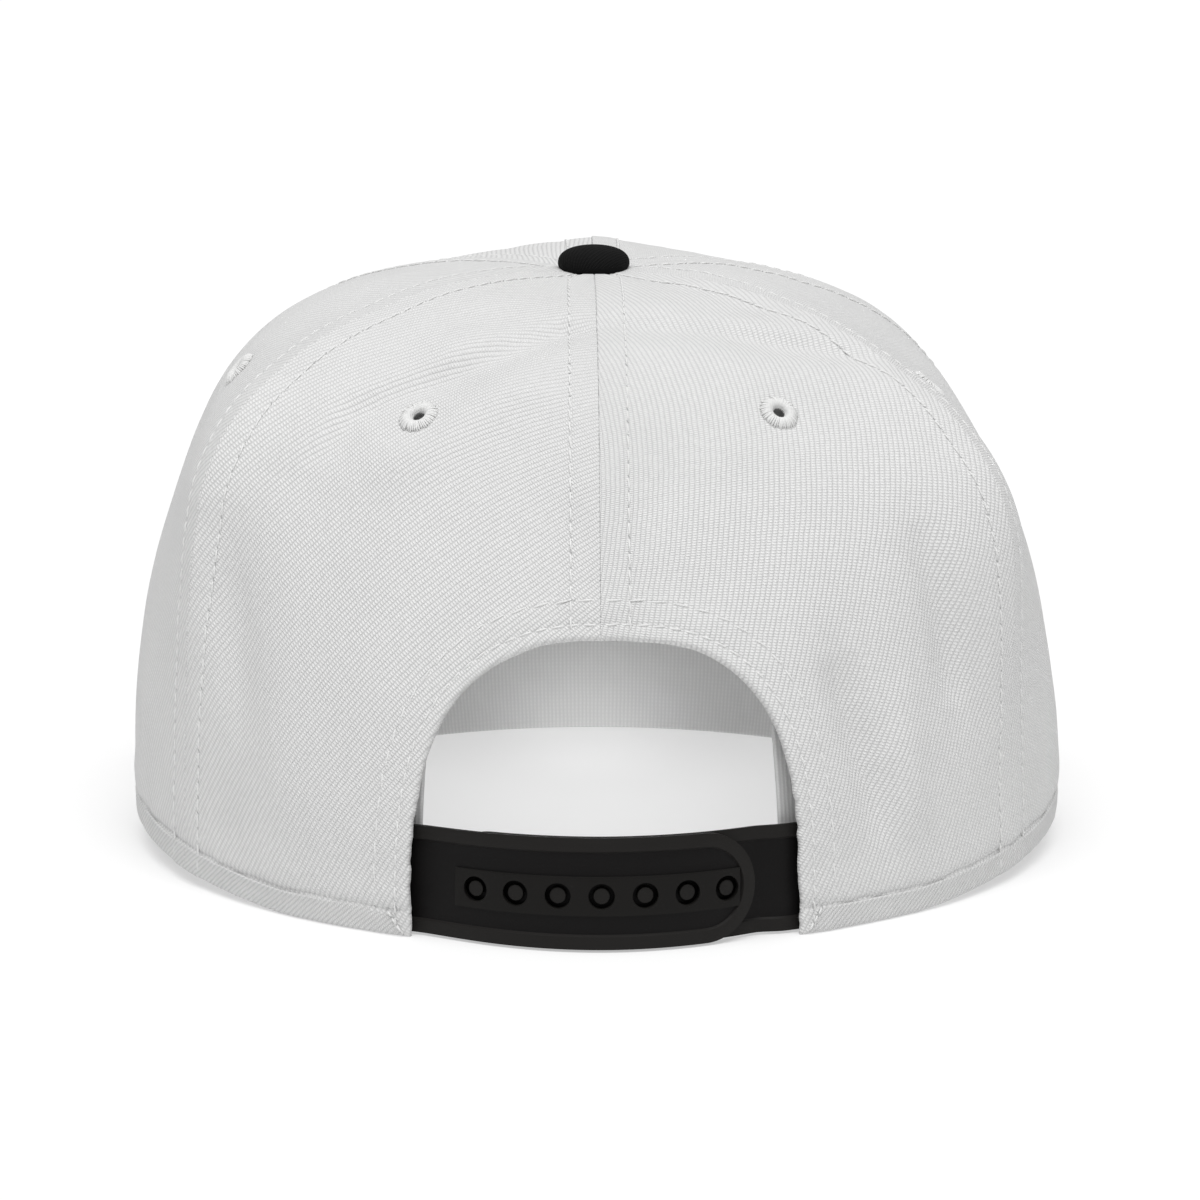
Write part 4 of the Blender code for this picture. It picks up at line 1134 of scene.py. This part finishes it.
PEAK_LENGTH = 68.0 * MM
PEAK_HALF_WIDTH = 89.0 * MM
PEAK_CORNER_REACH = 1.2 * MM
PEAK_SPAN = 66.0
PEAK_SQUARENESS = 2.25
PEAK_THICKNESS = 3.0 * MM
PEAK_ROWS = [(6.0 + 6.2 * k) * MM for k in range(8)]
PEAK_CORNER_LENGTH = 140 * MM   # about, from a corner to the tip along the outer edge
PEAK_EDGE_STEPS = (0, .06, .15, .3, .5, .8, 1.2, 1.6)
PEAK_SEWN_STEPS = (0, .1, .3, .6, 1.0)
PEAK_GRID_ROWS = 125


def plain_crown(azimuth, depth):
    """Points of the hem, measured from the crown's own centre."""
    return crown(azimuth, 0.0, depth) - np.array([0, CENTRE_Y, 0])


peak_tip = -CROWN_HALF_LENGTH - PEAK_LENGTH
corner_outer = plain_crown(180 - PEAK_SPAN, 0.0)
corner_inner = plain_crown(180 - PEAK_SPAN, PANEL_WALL)
front_inner = plain_crown(180.0, PANEL_WALL)
corner_share = (corner_outer[0] + PEAK_CORNER_REACH) / PEAK_HALF_WIDTH
corner_angle = math.pi - math.asin(corner_share ** (PEAK_SQUARENESS / 2))
behind_share = (-math.cos(corner_angle)) ** (2 / PEAK_SQUARENESS)
widest = (corner_outer[1] + behind_share * peak_tip) / (1 + behind_share)


def peak_outer(t):
    """Outer edge of the peak in plan, from one corner at -1 over the tip to the other at 1."""
    side = np.abs(np.sin(t * corner_angle)) ** (2 / PEAK_SQUARENESS)
    ahead = np.abs(np.cos(t * corner_angle)) ** (2 / PEAK_SQUARENESS) * np.sign(np.cos(t * corner_angle))
    return np.stack([np.sign(t) * PEAK_HALF_WIDTH * side, widest + (peak_tip - widest) * ahead], axis=-1)


def peak_under(camber, x, y):
    """Height of the peak's underside, arched by its camber and sloping down to the tip."""
    corner_arch = camber * (1 - (corner_inner[0] / PEAK_HALF_WIDTH) ** 2)
    slope = (corner_inner[2] - front_inner[2] - corner_arch + camber) / (corner_inner[1] - front_inner[1])
    base = front_inner[2] - GAP - PEAK_THICKNESS - camber - slope * (front_inner[1] - peak_tip)
    return base + slope * (y - peak_tip) + camber * (1 - (x / PEAK_HALF_WIDTH) ** 2)


# the camber is found that sets the lowest part of the edge on the floor
low_camber, high_camber = 0.0, FRONT_LIFT * 3
edge_xy = peak_outer(np.linspace(-1, 1, 81))
for _ in range(40):
    camber = (low_camber + high_camber) / 2
    if peak_under(camber, edge_xy[:, 0], edge_xy[:, 1]).min() > 0:
        low_camber = camber
    else:
        high_camber = camber
camber = low_camber

t = np.linspace(-1, 1, 181)
inner_xy = plain_crown(180 - t * PEAK_SPAN, PANEL_WALL)[:, :2]
outer_xy = peak_outer(t)
reach = np.linalg.norm(outer_xy - inner_xy, axis=1)
share_across = graded(PEAK_LENGTH, PEAK_EDGE_STEPS, PEAK_SEWN_STEPS, PEAK_GRID_ROWS) / PEAK_LENGTH
xy = outer_xy[None] + (inner_xy - outer_xy)[None] * share_across[:, None, None]
off_edge = share_across[:, None] * reach
to_inner = (1 - share_across)[:, None] * reach
to_corner = (1 - np.abs(t)) * PEAK_CORNER_LENGTH + 0 * off_edge
quilt = 0.06 * MM * ripple(xy[..., 0], xy[..., 1], 9 * MM, 51)
for row in PEAK_ROWS:
    quilt -= 0.16 * MM * bump_at(off_edge - row, 0.55 * MM)
rounded = np.zeros_like(off_edge)
for distance, radius in ((off_edge, 1.5 * MM), (to_inner, 1.0 * MM), (to_corner, 1.5 * MM)):
    rounded = np.maximum(rounded, fold_away(distance, radius, PEAK_THICKNESS / 2))
under = peak_under(camber, xy[..., 0], xy[..., 1])
joined = rounded > PEAK_THICKNESS / 2 - 1e-7
top_z = under + PEAK_THICKNESS - rounded + np.where(joined, 0, np.clip(quilt, None, 0.1 * MM))
low_z = np.where(joined, top_z, under + rounded)
top_points = np.stack([xy[..., 0], xy[..., 1] + CENTRE_Y, top_z], axis=-1)
low_points = np.stack([xy[..., 0], xy[..., 1] + CENTRE_Y, low_z], axis=-1)
peak = grid_shell("peak_covered", top_points, low_points, np.stack([xy[..., 0], -xy[..., 1]], axis=-1))
peak.data.materials.append(black_twill)
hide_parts("peak")
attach(peak, "root")

black_thread = plain_thread("black_thread", (0.03, 0.03, 0.03), 0.55)
fine = np.linspace(-0.985, 0.985, 900)
sewn, outer = plain_crown(180 - fine * PEAK_SPAN, PANEL_WALL)[:, :2], peak_outer(fine)
across = np.linalg.norm(sewn - outer, axis=1, keepdims=True)
rows = []
for row in PEAK_ROWS:
    line = (outer + (sewn - outer) * row / across)[across[:, 0] > row + 2.4 * MM]
    walk = walked(*line.T)
    count = int(walk[-1] / (3.0 * MM))
    numbers = np.arange(count)
    for height, facing in ((PEAK_THICKNESS - 0.14 * MM, 1.0), (0, -1.0)):
        both_ends = []
        for marks in ((numbers + 0.08) * walk[-1] / count, (numbers + 0.92) * walk[-1] / count):
            x, y = (np.interp(marks, walk, values) for values in line.T)
            both_ends.append(np.stack([x, y + CENTRE_Y, peak_under(camber, x, y) + height], axis=-1))
        rows.append((*both_ends, np.tile([0, 0, facing], (count, 1))))
row_points = [np.concatenate(part) for part in zip(*rows)]
peak_stitching = stitches("peak_stitching", *row_points, black_thread, seed=2)
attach(peak_stitching, "root")


# Snap strap
# Two halves moulded in black plastic. Each is drawn flat, with a rim round its edge, its holes or pegs and
# softened edges, and is then bent round the back of the crown.

PEG_STATIONS = [(k - 3) * 7.5 * MM for k in range(7)]
PEG_RADIUS = 1.4 * MM
PEG_HOLE_RADIUS = 2.25 * MM
HOLES_TIP = 28.2 * MM
PEGS_TIP = 29.8 * MM
HOLES_THICK = STRAP_WEB + STRAP_RIM
RIM_WIDTH = 2.3 * MM
BAND_WIDTH = 6.8 * MM
BAND_DROP = 0.35 * MM
BAND_LEVEL = HOLES_THICK - 0.016 * MM
BAND_LEFT, BAND_RIGHT = PEG_STATIONS[0] - 4.0 * MM, PEG_STATIONS[-1] + 2.6 * MM
PEG_RECESS = 0.4 * MM
PEG_TOP = PEG_PLATE + HOLES_THICK - 0.25 * MM
PEG_EASE = 6.5 * MM
SOFT_EDGE = 0.22 * MM
BEND_STEP = 1.2 * MM


def moulded_plastic(name, dark, light, grain_size, grain_depth):
    """Black plastic with a fine grain and faint patches of colour and shine."""
    made, tree, shader = new_material(name)
    place = add_node(tree, "ShaderNodeTexCoord", output=3)
    grain = noise(tree, place, grain_size, 3.0, "3D")
    wear = noise(tree, place, 90.0, 3.0, "3D")
    feed(tree, shader, Base_Color=blend(tree, wear * 0.7 + grain * 0.3, dark, light),
         Roughness=wear * 0.14 + 0.42, Normal=bump(tree, 0.4, grain_depth, grain), Specular_IOR_Level=0.12)
    return made


strap_plastic = moulded_plastic("strap_plastic_smooth", (0.0118, 0.0110, 0.0103), (0.0160, 0.0150, 0.0140),
                                2600.0, 0.02 * MM)
band_plastic = moulded_plastic("strap_plastic_band", (0.0072, 0.0067, 0.0062), (0.0100, 0.0093, 0.0086),
                               2600.0, 0.02 * MM)
# the recessed web is coloured darker than the rim: partly its duller textured finish, partly painted shade in
# the recess
web_plastic = moulded_plastic("strap_plastic_web", (0.0042, 0.0038, 0.0038), (0.0066, 0.0060, 0.0060),
                              3400.0, 0.05 * MM)


def select_faces(mesh_object, test):
    """Select the faces that pass a test, from object mode, and return to edit mode."""
    bpy.ops.object.mode_set(mode="EDIT")
    bpy.ops.mesh.select_all(action="DESELECT")
    bpy.ops.mesh.select_mode(type="FACE")
    bpy.ops.object.mode_set(mode="OBJECT")
    for polygon in mesh_object.data.polygons:
        polygon.select = bool(test(polygon))
    bpy.ops.object.mode_set(mode="EDIT")


def flat_half(name, tip, thickness, recess):
    """A flat strap half along X with a round tip, lying with its outer face up, rim proud of the web."""
    half = STRAP_HEIGHT / 2
    bpy.ops.object.select_all(action="DESELECT")
    bpy.ops.mesh.primitive_circle_add(vertices=128, radius=half, fill_type="NGON",
                                      location=(tip - half, 0, 0))
    plate = bpy.context.object
    plate.name = plate.data.name = name
    bpy.ops.object.transform_apply(location=True, rotation=False, scale=False)
    for vertex in plate.data.vertices:
        if vertex.co.x < tip - half - 1e-6:
            vertex.co.x -= STRAP_ROOT + tip
    bpy.ops.object.mode_set(mode="EDIT")
    bpy.ops.mesh.select_all(action="SELECT")
    bpy.ops.mesh.extrude_region_move(TRANSFORM_OT_translate={"value": (0, 0, thickness)})
    bpy.ops.mesh.select_all(action="SELECT")
    bpy.ops.mesh.normals_make_consistent(inside=False)
    bpy.ops.object.mode_set(mode="OBJECT")
    select_faces(plate, lambda p: p.normal.z > 0.9)
    bpy.ops.mesh.inset(thickness=RIM_WIDTH, depth=0)
    bpy.ops.mesh.inset(thickness=0.3 * MM, depth=-recess)
    bpy.ops.mesh.select_all(action="SELECT")
    bpy.ops.mesh.bisect(plane_co=(-STRAP_ROOT, 0, 0), plane_no=(1, 0, 0), clear_inner=True, use_fill=True)
    bpy.ops.object.mode_set(mode="OBJECT")
    return plate


def boolean(target, tool, operation):
    """Join a tool to the target or cut it out, and take the tool away."""
    modifier = target.modifiers.new("cut", "BOOLEAN")
    modifier.operation, modifier.solver, modifier.object = operation, "EXACT", tool
    bpy.context.view_layer.objects.active = target
    bpy.ops.object.modifier_apply(modifier="cut")
    bpy.data.objects.remove(tool)


def soften_and_bend(plate, side, surface_depth, web_level):
    """Soften the edges, cut the plate into short lengths and bend it round the crown."""
    bpy.ops.object.select_all(action="DESELECT")
    plate.select_set(True)
    bpy.context.view_layer.objects.active = plate
    bevel = plate.modifiers.new("soft", "BEVEL")
    bevel.width, bevel.segments = SOFT_EDGE, 3
    bevel.limit_method, bevel.angle_limit = "ANGLE", 28 * DEGREE
    bpy.ops.object.modifier_apply(modifier="soft")
    bpy.ops.object.mode_set(mode="EDIT")
    bpy.ops.mesh.select_all(action="SELECT")
    bpy.ops.mesh.quads_convert_to_tris()
    for x in np.arange(-STRAP_ROOT + BEND_STEP, PEGS_TIP + BEND_STEP, BEND_STEP):
        bpy.ops.mesh.select_all(action="SELECT")
        bpy.ops.mesh.bisect(plane_co=(x, 0, 0), plane_no=(1, 0, 0))
    for y in np.array((-7, -5, -3, 0, 3, 5, 7)) * MM:
        bpy.ops.mesh.select_all(action="SELECT")
        bpy.ops.mesh.bisect(plane_co=(0, y, 0), plane_no=(0, 1, 0))
    bpy.ops.mesh.select_all(action="SELECT")
    bpy.ops.mesh.remove_doubles(threshold=1e-6)
    bpy.ops.object.mode_set(mode="OBJECT")
    flat = np.array([v.co[:] for v in plate.data.vertices])
    for material in (strap_plastic, web_plastic, band_plastic):
        plate.data.materials.append(material)
    for polygon in plate.data.polygons:
        for index, level, near in ((1, web_level, 0.02 * MM), (2, BAND_LEVEL, 0.006 * MM)):
            if polygon.normal.z > 0.9 and abs(polygon.center.z - level) < near:
                polygon.material_index = index
    placed = strap_place(side * flat[:, 0], STRAP_MIDDLE + flat[:, 1], surface_depth(flat[:, 0]) - flat[:, 2])
    plate.data.vertices.foreach_set("co", placed.ravel())
    bpy.ops.object.mode_set(mode="EDIT")
    bpy.ops.mesh.select_all(action="SELECT")
    bpy.ops.mesh.normals_make_consistent(inside=False)
    bpy.ops.object.mode_set(mode="OBJECT")
    bpy.ops.object.shade_smooth_by_angle(angle=35 * DEGREE)


def pegs_surface(x):
    """Depth of the peg half's outer face, which eases outwards to its root past the other half's tip."""
    past = (-x - (HOLES_TIP + GAP)) / PEG_EASE
    return PEGS_DEPTH + (STRAP_DEPTH - PEGS_DEPTH) * smoothstep(past) + PEG_PLATE


holes_half = flat_half("strap_holes_moulded", HOLES_TIP, HOLES_THICK, STRAP_RIM)
bpy.ops.object.select_all(action="DESELECT")
bpy.ops.mesh.primitive_cube_add(size=1, location=((BAND_LEFT + BAND_RIGHT) / 2, -BAND_DROP, HOLES_THICK / 2))
band = bpy.context.object
band.scale = (BAND_RIGHT - BAND_LEFT, BAND_WIDTH, 2 * BAND_LEVEL - HOLES_THICK)
bpy.ops.object.transform_apply(location=True, rotation=False, scale=True)
boolean(holes_half, band, "UNION")
pegs_half = flat_half("strap_pegs_moulded", PEGS_TIP, PEG_PLATE, PEG_RECESS)
for station in PEG_STATIONS:
    bpy.ops.object.select_all(action="DESELECT")
    bpy.ops.mesh.primitive_cylinder_add(vertices=40, radius=PEG_HOLE_RADIUS, depth=6 * MM,
                                        location=(station, -BAND_DROP, 0))
    boolean(holes_half, bpy.context.object, "DIFFERENCE")
    bpy.ops.mesh.primitive_cylinder_add(vertices=32, radius=PEG_RADIUS, depth=PEG_TOP - PEG_RECESS,
                                        location=(station, -BAND_DROP, (PEG_TOP + PEG_RECESS) / 2))
    boolean(pegs_half, bpy.context.object, "UNION")
soften_and_bend(holes_half, -1, lambda x: STRAP_DEPTH + HOLES_THICK + 0 * x, STRAP_WEB)
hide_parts("snap_strap_holes")
soften_and_bend(pegs_half, 1, pegs_surface, PEG_PLATE - PEG_RECESS)
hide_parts("snap_strap_pegs")
for half in (holes_half, pegs_half):
    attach(half, "root")


# Studio
# A plain white sweep under even, soft light, with the camera at the photograph's angle behind the cap.

bpy.ops.object.select_all(action="DESELECT")
bpy.ops.mesh.primitive_plane_add(size=12, location=(0, 0, 0))
floor = bpy.context.object
floor.name = "studio_floor"
studio_white, tree, shader = new_material("studio_white")
feed(tree, shader, Base_Color=(0.50, 0.50, 0.50, 1), Roughness=0.9, Emission_Color=(1, 1, 1, 1),
     Emission_Strength=0.46, Specular_IOR_Level=0.0)
floor.data.materials.append(studio_white)

world = bpy.data.worlds.new("studio_light")
bpy.context.scene.world = world
world.use_nodes = True
world.node_tree.nodes["Background"].inputs["Color"].default_value = (1, 1, 1, 1)
world.node_tree.nodes["Background"].inputs["Strength"].default_value = 0.36


def lamp(name, kind, energy, place, towards, **settings):
    """A lamp at a place, shining along a direction."""
    light = bpy.data.lights.new(name, kind)
    light.energy = energy
    for key, value in settings.items():
        setattr(light, key, value)
    made = bpy.data.objects.new(name, light)
    bpy.context.collection.objects.link(made)
    made.location = place
    made.rotation_euler = Vector(towards).to_track_quat("-Z", "Y").to_euler()


lamp("overhead_key", "SUN", 0.84 * math.pi, (0, 0, 0),
     (0, -math.cos(72 * DEGREE), -math.sin(72 * DEGREE)), angle=60 * DEGREE)
# two small lamps inside the crown, one over the floor and one that washes the front of the sweatband
lamp("inner_fill", "AREA", 0.0115, (0, 0.020, 0.080), (0, 0, -1), shape="RECTANGLE", size=0.07, size_y=0.11,
     spread=70 * DEGREE)
lamp("inner_wash", "AREA", 0.0011, (0, 0.070, 0.065), (0, -0.128, -0.068), shape="DISK", size=0.02,
     spread=22 * DEGREE)

# the photograph's frame and focal length in pixels, and where the cap's axis meets the floor in it
PHOTO = 1200
FOCAL = 5155.0
AXIS_PIXEL = (593.79, 823.13)
CAMERA_RISE, CAMERA_SWING = 12.715 * DEGREE, 0.758 * DEGREE
CAMERA_DISTANCE = 1.0
SENSOR = 36
back = Vector((math.sin(CAMERA_SWING) * math.cos(CAMERA_RISE), math.cos(CAMERA_SWING) * math.cos(CAMERA_RISE),
               math.sin(CAMERA_RISE)))
right = Vector((-math.cos(CAMERA_SWING), math.sin(CAMERA_SWING), 0))
up = back.cross(right)
aim = (-back * FOCAL + right * (PHOTO / 2 - AXIS_PIXEL[0]) + up * (AXIS_PIXEL[1] - PHOTO / 2)).normalized()
camera_data = bpy.data.cameras.new("photo_camera")
camera = bpy.data.objects.new("photo_camera", camera_data)
bpy.context.collection.objects.link(camera)
camera.location = Vector((0, CENTRE_Y, 0)) + back * CAMERA_DISTANCE
camera.rotation_euler = aim.to_track_quat("-Z", "Y").to_euler()
camera_data.sensor_width = SENSOR
camera_data.lens = FOCAL / PHOTO * SENSOR
camera_data.clip_start = 0.01
camera_data.clip_end = 60
bpy.context.scene.camera = camera
bpy.context.scene.view_settings.view_transform = "Standard"
